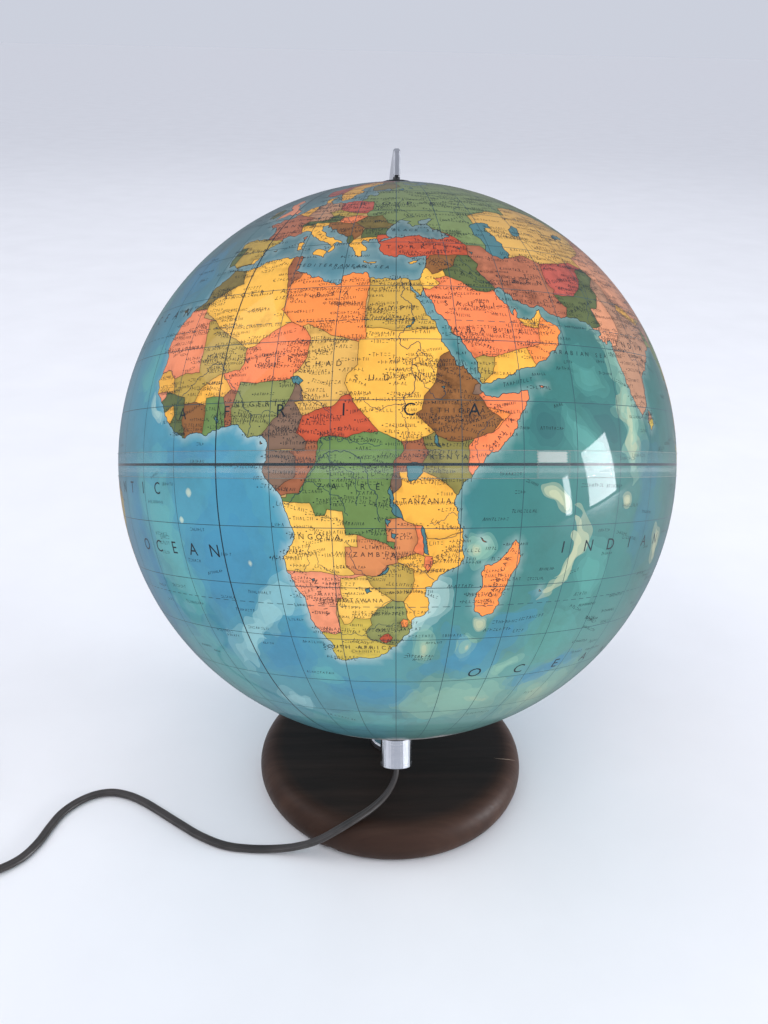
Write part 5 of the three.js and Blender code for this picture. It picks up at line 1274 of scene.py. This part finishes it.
def build_map():
    """Both hemispheres, their coasts and their borders. Returns the faces' middles and which are land."""
    land = [stretched(natural(outline(t), COAST_ROUGHNESS)) for t in LAND.values()]
    lakes = [stretched(natural(outline(t), COAST_ROUGHNESS)) for t in WATER.values()]
    countries = [(name, stretched(natural(outline(t), BORDER_ROUGHNESS))) for name, t in COUNTRIES]
    tints = [(name, share, depth_line(t, scale)) for scale, share in DEPTH_STEPS for name, t in TINTS]
    verts, faces = triangulate(land + lakes + [s for _, s in countries] + [s for *_, s in tints])
    middles = verts[faces].mean(1)
    kind = face_kinds(middles, land, lakes, countries)
    (coast, coast_points), (border, border_points) = draw_edges(verts, faces, kind)
    nearest_coast = nearest(verts, coast_points)
    gap = np.array([nearest_coast(p)[1] for p in verts])
    colours = paint_faces(verts, faces, middles, kind, countries, tints, gap, border_points)
    relief = relief_at(verts)
    relief[gap < BEACH_WIDTH] *= 0.5
    look = printed_look()
    north = middles[:, 1] > 0
    for name, node, mask, edge_lat, rim_lat in (
        ("globe_north", "north_hemisphere", north, EQUATOR_GAP, NORTH_RIM),
        ("globe_south", "south_hemisphere", ~north, -EQUATOR_GAP, SOUTH_RIM),
    ):
        shell_piece(name, node, verts, faces[mask], colours[mask], relief, look, edge_lat, rim_lat)
    coast.finish("map_coasts", INK)
    border.finish("map_borders", BORDER_INK)
    return middles, kind >= PLAIN_LAND


def nearest(places, numbers):
    """A search that gives the number of the nearest of the numbered places, and its gap in degrees."""
    tree = KDTree(len(numbers))
    for number in numbers:
        tree.insert((*places[number], 0), number)
    tree.balance()
    return lambda place: tree.find((*place, 0))[1:]


def halo_strength(verts):
    """The shallows are palest round the south and west of Africa."""
    lon, lat = verts[:, 0], verts[:, 1]
    south_west = np.exp(-(((lon - 16) / 22) ** 2)) * (lat < 6)
    return 0.22 + 0.3 * south_west


# ---- lines, names and marks ----
NET_WIDTH, EQUATOR_WIDTH, PRIME_WIDTH = 0.28 * MM, 0.5 * MM, 0.6 * MM
NET_STEP, NET_END = 10, 80
CIRCLES = (23.44, -23.44, 66.56, -66.56)
EQUATOR_SPREAD = 0.13
RIVER_ROUGHNESS, RIVER_UNIT = 0.16, 0.6 * MM
ROUND = range(0, 363, 3)


def build_net():
    """Meridians, parallels, dashed circles, and the heavier prime meridian and equator."""
    net, heavy = Ribbons(), Ribbons()
    for lon in range(-180, 180, NET_STEP):
        lines, width = (net, NET_WIDTH) if lon else (heavy, PRIME_WIDTH)
        for low, high in ((-NET_END, -EQUATOR_GAP), (EQUATOR_GAP, NET_END)):
            lats = [low + (high - low) * k / 40 for k in range(41)]
            lines.line([(stretch(lon), lat) for lat in lats], width)
    for lat in range(-NET_END, NET_END + 1, NET_STEP):
        if lat:
            net.line([(lon, lat) for lon in ROUND], NET_WIDTH)
    for lat in CIRCLES:
        for lon in range(0, 360, 2):
            net.line([(lon, lat), (lon + 0.6, lat), (lon + 1.2, lat)], NET_WIDTH)
    for lat in (-EQUATOR_SPREAD, 0, EQUATOR_SPREAD):
        heavy.line([(lon, lat) for lon in ROUND], EQUATOR_WIDTH, LINE_LIFT + abs(lat) * 0.1 * MM)
    net.finish("map_net", NET_INK)
    heavy.finish("map_heavy_lines", INK)


def build_rivers():
    rivers = Ribbons()
    for width, text in RIVERS:
        places = natural(outline(text), RIVER_ROUGHNESS, closed=False, fine=0.5)
        rivers.line(stretched(places), width * RIVER_UNIT)
    rivers.finish("map_rivers", RIVER_INK)


CAPITAL_HEIGHT = 0.73
LETTERS = {}


def letter(sign):
    """A letter as flat points one unit high, about its middle, and its faces."""
    if sign not in LETTERS:
        curve = bpy.data.curves.new("letter", "FONT")
        curve.body, curve.resolution_u = sign, 3
        holder = bpy.data.objects.new("letter", curve)
        mesh = holder.to_mesh()
        xs = [v.co.x for v in mesh.vertices]
        middle = (min(xs) + max(xs)) / 2
        points = [((v.co.x - middle) / CAPITAL_HEIGHT, v.co.y / CAPITAL_HEIGHT) for v in mesh.vertices]
        LETTERS[sign] = points, [tuple(f.vertices) for f in mesh.polygons]
        holder.to_mesh_clear()
        bpy.data.objects.remove(holder)
        bpy.data.curves.remove(curve)
    return LETTERS[sign]


def write(ribbons, text, lon, lat, height, step, slope=0.0, lean=0.0):
    """A name, its letters spread evenly about the place. Sizes are in degrees."""
    c, s = math.cos(math.radians(slope)), math.sin(math.radians(slope))
    for k, sign in enumerate(text):
        if sign == " ":
            continue
        points, faces = letter(sign)
        x0 = (k - (len(text) - 1) / 2) * step
        places = []
        for x, y in points:
            x, y = x0 + (x + y * lean) * height, (y - 0.5) * height
            x, y = x * c - y * s, x * s + y * c
            places.append((stretch(lon) + x / math.cos(math.radians(lat + y)), lat + y))
        ribbons.flat(places, faces)


# Each name, its place, its height and the step between letters, then any slope and lean.
NAMES = (
    ("AFRICA", 17, 8.6, 2.1, 10.2), ("ATLANTIC", -34, -4, 2.2, 5.4), ("OCEAN", -12.6, -14.4, 2.3, 5.2),
    ("INDIAN", 72.5, -13.5, 2.1, 5.6), ("OCEAN", 68, -38, 2.2, 8.6), ("ALGERIA", 2, 29.8, 0.95, 2.0),
    ("LIBYA", 16, 28.6, 0.95, 2.3), ("EGYPT", 29.2, 25.6, 0.95, 1.7), ("SAUDI", 43, 26.6, 0.95, 2.0),
    ("ARABIA", 45.6, 21.8, 0.95, 2.2), ("MAURITANIA", -11.5, 20.2, 0.85, 1.05),
    ("MALI", -1.5, 18.2, 0.85, 1.6), ("NIGER", 8.6, 17, 0.95, 2.0), ("CHAD", 18.4, 16, 0.95, 1.7),
    ("SUDAN", 28.6, 13.6, 1.0, 2.4), ("NIGERIA", 8, 9.7, 0.9, 1.45), ("CAMEROON", 12.6, 5.2, 0.6, 0.74),
    ("ETHIOPIA", 39.4, 8.4, 0.8, 1.15), ("SOMALIA", 45.9, 4.2, 0.75, 1.15, 52),
    ("KENYA", 38, 1.2, 0.85, 1.3), ("TANZANIA", 34.6, -5.6, 0.85, 1.0), ("ZAIRE", 22.8, -3.4, 1.0, 2.3),
    ("ANGOLA", 17.2, -11.4, 0.95, 1.5), ("ZAMBIA", 26.6, -14.2, 0.8, 1.2),
    ("BOTSWANA", 24, -22.2, 0.75, 0.95), ("NAMIBIA", 17.4, -22, 0.75, 1.0, -78),
    ("SOUTH AFRICA", 22.6, -31.6, 0.85, 1.0), ("MADAGASCAR", 46.8, -19.2, 0.75, 0.95, 72),
    ("MOZAMBIQUE", 38.2, -13.6, 0.6, 0.8, 40), ("TURKEY", 34.4, 38.8, 0.95, 1.9),
    ("IRAN", 54.5, 32, 1.0, 2.4), ("IRAQ", 43.4, 33, 0.8, 1.3), ("AFGHANISTAN", 65.6, 33.4, 0.75, 0.9, 14),
    ("PAKISTAN", 67.6, 28, 0.75, 0.95, 24), ("INDIA", 79, 21.4, 1.2, 2.3),
    ("ARABIAN SEA", 63.4, 18.6, 0.8, 1.15, 0, 0.2), ("MEDITERRANEAN SEA", 19.4, 34.6, 0.7, 0.95, -5, 0.2),
    ("UGANDA", 32.4, 1.4, 0.6, 0.75), ("FRANCE", 2.4, 46.8, 0.9, 1.5), ("SPAIN", -4, 40.2, 0.9, 1.5),
    ("ITALY", 12.6, 43, 0.7, 0.9, -48), ("BLACK SEA", 34.5, 43.4, 0.7, 0.95, 0, 0.2),
    ("EUROPE", 24, 53, 1.5, 4), ("ASIA", 92, 46, 2.2, 8), ("CHINA", 102, 33, 1.6, 4),
    ("AUSTRALIA", 134, -26, 1.5, 3.4), ("PACIFIC", -160, 6, 2.4, 8), ("OCEAN", -150, -6, 2.4, 9),
    ("NORTH AMERICA", -101, 44, 1.9, 3.8), ("SOUTH AMERICA", -58, -12, 1.7, 2.7, -60),
    ("GREENLAND", -40, 72, 1.4, 2.6), ("ATLANTIC OCEAN", -46, 28, 1.8, 4.2),
)


def build_names():
    names = Ribbons()
    for row in NAMES:
        write(names, *row)
    names.finish("map_names", INK)


MARK_SEED = 23
LABELS, FRONT_SHARE, SEA_SHARE = 3600, 0.55, 0.1
LETTER_STEP, LETTER_WIDTH, INITIAL_HEIGHT = 1.15, 0.62, 1.25
STROKE_WIDTH, DOT_WIDTH, DOT_LENGTH = 0.19 * MM, 0.42 * MM, 0.16
# Two strokes each, from corner to corner of a unit box.
FIGURES = (
    ((0, 0), (0, 1), (1, 0), (1, 1)), ((0, 0), (0.5, 1), (0.5, 1), (1, 0)),
    ((0, 0), (0, 1), (0, 0.5), (1, 0.5)), ((0.5, 0), (0.5, 1), (0, 1), (1, 1)),
    ((0, 0), (0, 1), (0, 0), (1, 0)), ((0, 0.1), (1, 0.1), (0, 0.9), (1, 0.9)),
)


def label_places(draw):
    """Places for the tiny labels, most of them in front."""
    places = []
    for k in range(LABELS):
        if k < LABELS * FRONT_SHARE:
            places.append((draw.uniform(-20, 95), draw.uniform(-36, 60)))
        else:
            places.append((draw.uniform(-180, 180), math.degrees(math.asin(draw.uniform(-0.8, 0.92)))))
    return places


def build_marks(middles, ground):
    """Rows of tiny strokes too small to read, as the smallest names on a map look, and town dots."""
    draw = random.Random(MARK_SEED)
    marks = Ribbons()
    places = label_places(draw)
    nearest_face = nearest(middles, range(len(middles)))
    for lon, lat in places:
        dry = ground[nearest_face((lon, lat))[0]]
        if not dry and draw.random() > SEA_SHARE:
            continue
        count, height = draw.randint(4, 9), draw.uniform(0.4, 0.54)
        slope = draw.choice((0, 0, 0, draw.uniform(-25, 25)))
        lean = draw.choice((0, 0.25))
        for k in range(count):
            x = (k - count / 2) * height * LETTER_STEP
            tiny_letter(marks, draw, lon, lat, x, height * (1 if k else INITIAL_HEIGHT), slope, lean)
        if dry:
            x = -(count / 2 + 1) * height * LETTER_STEP
            marks.stroke((lon + x, lat), (lon + x + DOT_LENGTH, lat), DOT_WIDTH)
    marks.finish("map_small_marks", INK)


def tiny_letter(marks, draw, lon, lat, x, height, slope, lean):
    """Two strokes within one letter's box."""
    c, s = math.cos(math.radians(slope)), math.sin(math.radians(slope))
    wide = math.cos(math.radians(lat))

    def at(u, v):
        u, v = x + u * height * LETTER_WIDTH + v * height * lean, (v - 0.5) * height
        return (lon + (u * c - v * s) / wide, lat + u * s + v * c)

    figure = draw.choice(FIGURES)
    for a, b in (figure[:2], figure[2:]):
        marks.stroke(at(*a), at(*b), STROKE_WIDTH, tails=0)


middles, ground = build_map()
build_net()
build_rivers()
build_names()
build_marks(middles, ground)


# ---- the clear tape over the joint ----
TAPE_WIDTH, TAPE_RADIUS, TAPE_THICKNESS = 11.5 * MM, 150.32 * MM, 0.1 * MM
TAPE_START, TAPE_OVERLAP, TAPE_STEPS = 52.5, 6.5, 366
TAPE_END = TAPE_START + 360 + TAPE_OVERLAP
TAPE_HALF = math.degrees(TAPE_WIDTH / 2 / GLOBE_RADIUS)
TAPE_TEETH, TOOTH_DEPTH = 9, 0.42
TAPE_ACROSS = [TAPE_HALF * (j / TAPE_TEETH - 1) for j in range(2 * TAPE_TEETH + 1)]
TAPE_LIFT = TAPE_RADIUS - GLOBE_RADIUS + TAPE_THICKNESS
EDGE_WIDTH, CUT_WIDTH = 0.16 * MM, 0.22 * MM
# Where the paler line under the film lies, its width and its lift: a painted highlight.
SHEEN_LATITUDE, SHEEN_WIDTH, SHEEN_LIFT = -0.95, 2.0 * MM, 0.1 * MM
AIR_FROM, AIR_SHARE, AIR_ROWS, AIR_COLUMNS = 0.3, 0.92, 8, 6


def tape_film():
    """A clear film wound once round, its end laid over its start, both cut with a toothed blade."""
    look = Look("clear_tape", Alpha=0.04, Coat_Weight=0.6, Coat_Roughness=0.04, Coat_IOR=1.36, IOR=1.4)
    clouds = look.noise(160, 5, (1, 1, 6))
    look.colour(look.ramp(clouds, (0.35, (0.55, 0.62, 0.6)), (0.65, (0.85, 0.9, 0.88))))
    look.roughness(look.noise(420), 0.12, 0.3)
    look.bump(look.noise(60, 3), 0.12, 0.0004)
    points, normals = [], []
    for i in range(TAPE_STEPS + 1):
        for j, lat in enumerate(TAPE_ACROSS):
            lon = TAPE_START + (TAPE_END - TAPE_START) * i / TAPE_STEPS
            if i == 0:
                lon += TOOTH_DEPTH * (j % 2)
            if i == TAPE_STEPS:
                lon -= TOOTH_DEPTH * (j % 2)
            lift = smoothstep((lon - TAPE_START - 358) / 2) * TAPE_THICKNESS * 1.5
            n = direction(lon, lat)
            points.append(GLOBE_CENTRE + n * (TAPE_RADIUS + lift))
            normals.append(n)
    faces = strip_faces(TAPE_STEPS + 1, len(TAPE_ACROSS))
    tape = piece("joint_tape", points, faces, look, "globe", "clear_tape", normals)
    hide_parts("equator_tape")


def tape_edges():
    """Dark lines along the film's edges and along its toothed cuts."""
    edges = Ribbons()
    lons = [TAPE_START + (TAPE_END - TAPE_START) * k / TAPE_STEPS for k in range(TAPE_STEPS + 1)]
    for lat in (-TAPE_HALF, TAPE_HALF):
        edges.line([(lon, lat) for lon in lons], EDGE_WIDTH, TAPE_LIFT)
    for start, sign in ((TAPE_START, 1), (TAPE_END, -1)):
        cut = [(start + sign * TOOTH_DEPTH * (j % 2), lat) for j, lat in enumerate(TAPE_ACROSS)]
        edges.line(cut, CUT_WIDTH, TAPE_LIFT + TAPE_THICKNESS)
    edges.finish("tape_edges", plain_look("tape_edge", (0.16, 0.19, 0.18), 500, 0.3, Roughness=0.6))


def tape_sheen():
    """A paler line under the film just below the joint, painted there as a highlight."""
    sheen_line = Ribbons()
    sheen_line.line([(lon, SHEEN_LATITUDE) for lon in range(0, 363, 2)], SHEEN_WIDTH, SHEEN_LIFT)
    # A faint pale film along the line, a painted highlight.
    haze = Look("tape_sheen", Base_Color=(0.75, 0.82, 0.8, 1), Alpha=0.08, Roughness=0.4)
    sheen_line.finish("tape_sheen_line", haze.bump(haze.noise(500), 0.1, 0.0002))


def tape_air():
    """Air caught under the overlap, between the two toothed cuts."""
    caught = Ribbons()
    rows = [AIR_FROM + (TAPE_HALF * AIR_SHARE - AIR_FROM) * j / AIR_ROWS for j in range(AIR_ROWS + 1)]
    starts = [TAPE_START + TOOTH_DEPTH * (j % 2) for j in range(AIR_ROWS + 1)]
    span = TAPE_OVERLAP - 2 * TOOTH_DEPTH
    for j in range(AIR_ROWS):
        for k in range(AIR_COLUMNS):
            near, far = span * k / AIR_COLUMNS, span * (k + 1) / AIR_COLUMNS
            corners = [(starts[j] + near, rows[j]), (starts[j] + far, rows[j])]
            corners += [(starts[j + 1] + far, rows[j + 1]), (starts[j + 1] + near, rows[j + 1])]
            caught.flat(corners, [(0, 1, 2, 3)], TAPE_LIFT * 0.5)
    film = Look("caught_air", Base_Color=(0.72, 0.7, 0.64, 1), Alpha=0.4, Roughness=0.3)
    caught.finish("tape_overlap_air", film.bump(film.noise(260), 0.2, 0.0003))


# ---- the base ----
BASE_TOP, BASE_FLAT, BASE_WIDEST, BASE_SHOULDER = 22, 70, 81, 12.5
NOTCH_ANGLE, NOTCH_DEPTH, NOTCH_WIDTH, NOTCH_HEIGHT = math.radians(-118), 1.6, math.radians(1.3), 4
BASE_BORE, SCREW_POCKET, POCKET_CEILING, BASE_FOOT, CREASE = 3.3, 10, 10, 1.8, 0.2
SCRATCH = ((61.9, -18.2), (66.1, -19.2), (69.8, -19.4), (73.3, -18.4), (77.2, -16.1))
SCRATCH_STEPS, SCRATCH_WIDTH, SCRATCH_LIFT = 8, 0.28, 0.07


def base_height(x, y):
    """Height of the base's upper side at a place."""
    out = max(0, math.hypot(x, y) - BASE_FLAT) / (BASE_WIDEST - BASE_FLAT)
    return BASE_TOP - BASE_SHOULDER * (1 - math.sqrt(max(0, 1 - out * out)))


def notched(angle, radius, height):
    """A small chip at the base's foot."""
    if radius < BASE_FLAT or height > NOTCH_HEIGHT:
        return radius
    turn = (angle - NOTCH_ANGLE + math.pi) % (2 * math.pi) - math.pi
    return radius - NOTCH_DEPTH * math.exp(-((turn / NOTCH_WIDTH) ** 2))


def build_base():
    """The turned wooden base, with a point close to either side of each crease to keep it crisp."""
    middle, reach = BASE_TOP - BASE_SHOULDER, BASE_WIDEST - BASE_FLAT
    bore, pocket, ceiling, foot = BASE_BORE, SCREW_POCKET, POCKET_CEILING, BASE_FOOT
    profile = [(bore, BASE_TOP), (bore + CREASE, BASE_TOP), (30, BASE_TOP), (BASE_FLAT - 0.3, BASE_TOP)]
    for k in range(19):
        a = math.radians(5 * k)
        profile.append((BASE_FLAT + reach * math.sin(a), middle + BASE_SHOULDER * math.cos(a)))
    profile += [(80.9, 7.6), (80.6, 6.4), (80.1, 4.8), (79.4, 3.4), (78.8, 2.5), (77.8, foot), (77, foot)]
    profile += [(pocket + CREASE, foot), (pocket, foot), (pocket, foot + CREASE), (pocket, ceiling - CREASE)]
    profile += [(pocket, ceiling), (pocket - CREASE, ceiling), (bore + CREASE, ceiling), (bore, ceiling)]
    profile += [(bore, ceiling + CREASE), (bore, BASE_TOP - CREASE)]
    points, faces = lathe(profile, ripple=notched)
    base = piece("turned_base", points, faces, LOOKS["stained_wood"], "stand", "stained_wood")
    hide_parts("wooden_base")


def build_scratch():
    """A hairline scratch over the base's shoulder, pointed at both ends."""
    points = []
    spans = len(SCRATCH) - 1
    steps = SCRATCH_STEPS * spans
    for k in range(steps + 1):
        span = min(k // SCRATCH_STEPS, spans - 1)
        x, y = Vector(SCRATCH[span]).lerp(Vector(SCRATCH[span + 1]), k / SCRATCH_STEPS - span)
        width = SCRATCH_WIDTH * math.sin(math.pi * (k + 0.5) / (steps + 1))
        for side in (y - width, y + width):
            points.append(Vector((x, side, base_height(x, side) + SCRATCH_LIFT)) * MM)
    bare = plain_look("bare_wood", (0.2, 0.135, 0.1), 400, 0.3, Roughness=0.6)
    piece("base_scratch", points, strip_faces(steps + 1, 2), bare, "stand", "stained_wood")


# ---- small parts of the plug, the socket, the coil and the switch ----
RIB_WIDTH, RIB_HEIGHT, RIB_SINK, RIB_TAPER = 0.7, 0.5, 0.15, 0.5
GRIP_RIBS, GRIP_INSET, GRIP_START, GRIP_END = 5, 9, 17, 29
SLEEVE_LENGTH, SLEEVE_SIDES = 9.8, 24
RELIEF_RINGS, RELIEF_STEP, RELIEF_RADIUS, RELIEF_TUBE = 4, 1.7, 2.9, 0.75
GROOVE_HEIGHTS, GROOVE_RADIUS, GROOVE_TUBE = (-169.5, -168.7, -167.9), 8.765, 0.045
TIE_LEFT, TIE_RIGHT, TIE_BOTTOM, TIE_TOP, TIE_HALF, TIE_EDGE = 20.2, 37.0, 0.3, 9.9, 3, 2.6
MARK_INSET, MARK_RADIUS, MARK_TUBE = 9, 1.1, 0.22


def box_mm(node):
    """The low and high corners of a CAD object, in mm."""
    return [Vector(corner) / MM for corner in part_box(node)]


def grip_ribs(low, high):
    """Raised ribs across the two flat sides of a box, as points and faces."""
    points, faces = [], []
    rows = ((-RIB_WIDTH, 0), (-RIB_WIDTH * 0.6, RIB_HEIGHT * 0.8), (0, RIB_HEIGHT))
    rows += ((RIB_WIDTH * 0.6, RIB_HEIGHT * 0.8), (RIB_WIDTH, 0))
    ends = ((low.x, 0), (low.x + RIB_TAPER, 1), (high.x - RIB_TAPER, 1), (high.x, 0))
    for k in range(GRIP_RIBS):
        y = low.y + (high.y - low.y) * (k + 0.5) / GRIP_RIBS
        for z, sign in ((low.z, -1), (high.z, 1)):
            made = strip_faces(len(ends), len(rows), start=len(points))
            faces += made if sign < 0 else [tuple(reversed(f)) for f in made]
            for x, fade in ends:
                for dy, dz in rows:
                    points.append(Vector((x, y + dy, z + sign * (dz * fade - RIB_SINK))) * MM)
    return points, faces


def rings(places, axis, tube, sides=32, around=10):
    """Points and faces of some rings about one axis. Each place is a centre and a radius, in mm."""
    points, faces = [], []
    axis = axis.normalized()
    u = axis.orthogonal().normalized()
    v = axis.cross(u)
    for centre, radius in places:
        faces += strip_faces(sides, around, closed_rows=True, closed_columns=True, start=len(points))
        for i in range(sides):
            a = 2 * math.pi * i / sides
            out = u * math.cos(a) + v * math.sin(a)
            for j in range(around):
                b = 2 * math.pi * j / around
                rim = out * (radius + tube * math.cos(b)) + axis * tube * math.sin(b)
                points.append((centre + rim) * MM)
    return points, faces


def build_sleeves():
    """Insulating sleeves on the plug's pins."""
    body_end = box_mm("plug_body")[1].y
    for side in ("left", "right"):
        low, high = box_mm(f"plug_pin_{side}")
        x, z = (low.x + high.x) / 2, (low.z + high.z) / 2
        bare = (high.x - low.x) / 2 + 0.05
        thick, end = bare + 0.12, SLEEVE_LENGTH
        points = []
        profile = ((0, bare - 0.2), (0.2, thick), (end - 0.4, thick), (end, bare + 0.04), (end, bare - 0.3))
        for dy, r in profile:
            for k in range(SLEEVE_SIDES):
                a = 2 * math.pi * k / SLEEVE_SIDES
                points.append(Vector((x + r * math.cos(a), body_end + dy, z + r * math.sin(a))) * MM)
        faces = strip_faces(len(profile), SLEEVE_SIDES, closed_columns=True)
        piece(f"plug_sleeve_{side}", points, faces, LOOKS["black_plastic"], "stand", "black_plastic")


def build_grip():
    """Ribs on the plug's flat sides, where fingers hold it."""
    low, high = box_mm("plug_body")
    high = Vector((high.x - GRIP_INSET, low.y + GRIP_END, high.z))
    low = Vector((low.x + GRIP_INSET, low.y + GRIP_START, low.z))
    piece("plug_grip", *grip_ribs(low, high), LOOKS["black_plastic"], "stand", "black_plastic")


def build_strain_relief():
    """Collars where the flex enters the plug, thinner away from it."""
    entry = Vector(PLUG_ENTRY)
    places = []
    for k in range(RELIEF_RINGS):
        centre = entry + Vector((0, -1.2 - RELIEF_STEP * k, 0.1 * k))
        places.append((centre, RELIEF_RADIUS - 0.12 * k))
    points, faces = rings(places, Vector((0, 1, -0.05)), RELIEF_TUBE)
    piece("plug_strain_relief", points, faces, LOOKS["black_plastic"], "stand", "black_plastic")


def build_socket_lines():
    """Fine lines left by the turning, near the socket's lower end."""
    axis = POLAR @ Vector((0, 0, 1))
    places = [(GLOBE_CENTRE / MM + axis * height, GROOVE_RADIUS) for height in GROOVE_HEIGHTS]
    points, faces = rings(places, axis, GROOVE_TUBE, 64, 8)
    piece("socket_lines", points, faces, LOOKS["turned_aluminium"], "stand", "turned_aluminium")


def build_coil_tie():
    """The tie round the coil's turns, passing through its middle."""
    points = []
    section = rounded_loop(TIE_LEFT, TIE_RIGHT, TIE_BOTTOM, TIE_TOP)
    for r, z in section:
        inset = 0.125 if r > (TIE_LEFT + TIE_RIGHT) / 2 else -0.125
        for w, edge in ((-TIE_HALF, inset), (-TIE_EDGE, 0), (TIE_EDGE, 0), (TIE_HALF, inset)):
            points.append(Vector((COIL_CENTRE[0] + r - edge, COIL_CENTRE[1] + w, z)) * MM)
    faces = strip_faces(len(section), 4, closed_rows=True)
    piece("coil_tie", points, faces, LOOKS["black_plastic"], "stand", "flex")


def build_switch_marks():
    """Two moulded rings on the switch's cover."""
    low, high = box_mm("switch_cover")
    y, z = (low.y + high.y) / 2, high.z + 0.02
    places = [(Vector((x, y, z)), MARK_RADIUS) for x in (low.x + MARK_INSET, high.x - MARK_INSET)]
    points, faces = rings(places, Vector((0, 0, 1)), MARK_TUBE, 24, 8)
    piece("switch_marks", points, faces, LOOKS["white_plastic"], "stand", "white_plastic")


def rounded_loop(left, right, bottom, top, radius=1.6, steps=5):
    """A rectangle with round corners, as (across, up) points."""
    loop = []
    inner = (left + radius, right - radius, bottom + radius, top - radius)
    corners = ((inner[1], inner[3]), (inner[0], inner[3]), (inner[0], inner[2]), (inner[1], inner[2]))
    for quarter, (x, z) in enumerate(corners):
        for k in range(steps + 1):
            a = math.radians(90 * (quarter + k / steps))
            loop.append((x + radius * math.cos(a), z + radius * math.sin(a)))
    return loop


tape_film()
tape_edges()
tape_sheen()
tape_air()
build_base()
build_scratch()
build_sleeves()
build_grip()
build_strain_relief()
build_socket_lines()
build_coil_tie()
build_switch_marks()


# ---- floor and light ----
FLOOR_HALF = 60
SKY_STRENGTH, SKY_ANGLE, SKY_TURN = 0.55, 1.2, (0.35, -0.2, 0)
ROOM_COLOUR, ROOM_STRENGTH = (0.84, 0.88, 1.0, 1), 0.72
# each light's name, place, width, height, power, colour, and whether it shows in reflections
LIGHTS = (
    ("window", (1.98, -0.42, 0.33), 0.5, 0.6, 36, (0.93, 0.96, 1), True),
    ("window_edge", (1.85, -1.0, 0.27), 0.1, 0.46, 6, (0.93, 0.96, 1), True),
    ("room_light", (-0.6, -1.5, 2.1), 1.8, 1.8, 13, (1, 0.98, 0.95), False),
    ("back_light", (0.2, 2.2, 2.2), 2.0, 1.4, 9, (0.95, 0.97, 1), False),
    ("side_light", (-1.7, 0.1, 1.5), 1.1, 1.1, 9, (0.95, 0.97, 1), True),
)


def add_lamp(light, glossy):
    lamp = bpy.data.objects.new(light.name, light)
    lamp.visible_glossy = glossy
    bpy.context.collection.objects.link(lamp)
    return lamp


def build_stage():
    """The floor, the sky, and the room's lights aimed at the globe."""
    floor = plain_look("floor", (0.8, 0.8, 0.82), 30, 0.02, 0.05, 0.0005, Roughness=0.7)
    corners = [(x * FLOOR_HALF, y * FLOOR_HALF, 0) for x, y in ((-1, -1), (1, -1), (1, 1), (-1, 1))]
    piece("floor", corners, [(0, 1, 2, 3)], floor)
    sky = bpy.data.lights.new("sky_light", "SUN")
    sky.energy, sky.angle = SKY_STRENGTH, SKY_ANGLE
    add_lamp(sky, False).rotation_euler = SKY_TURN
    world = bpy.data.worlds.new("room")
    world.use_nodes = True
    background = world.node_tree.nodes["Background"]
    background.inputs["Color"].default_value = ROOM_COLOUR
    background.inputs["Strength"].default_value = ROOM_STRENGTH
    bpy.context.scene.world = world
    for name, place, width, height, power, colour, glossy in LIGHTS:
        light = bpy.data.lights.new(name, "AREA")
        light.shape, light.size, light.size_y = "RECTANGLE", width, height
        light.energy, light.color = power, colour
        lamp = add_lamp(light, glossy)
        lamp.location = place
        lamp.rotation_euler = (GLOBE_CENTRE - Vector(place)).to_track_quat("-Z", "Y").to_euler()


build_stage()
bpy.context.view_layer.update()
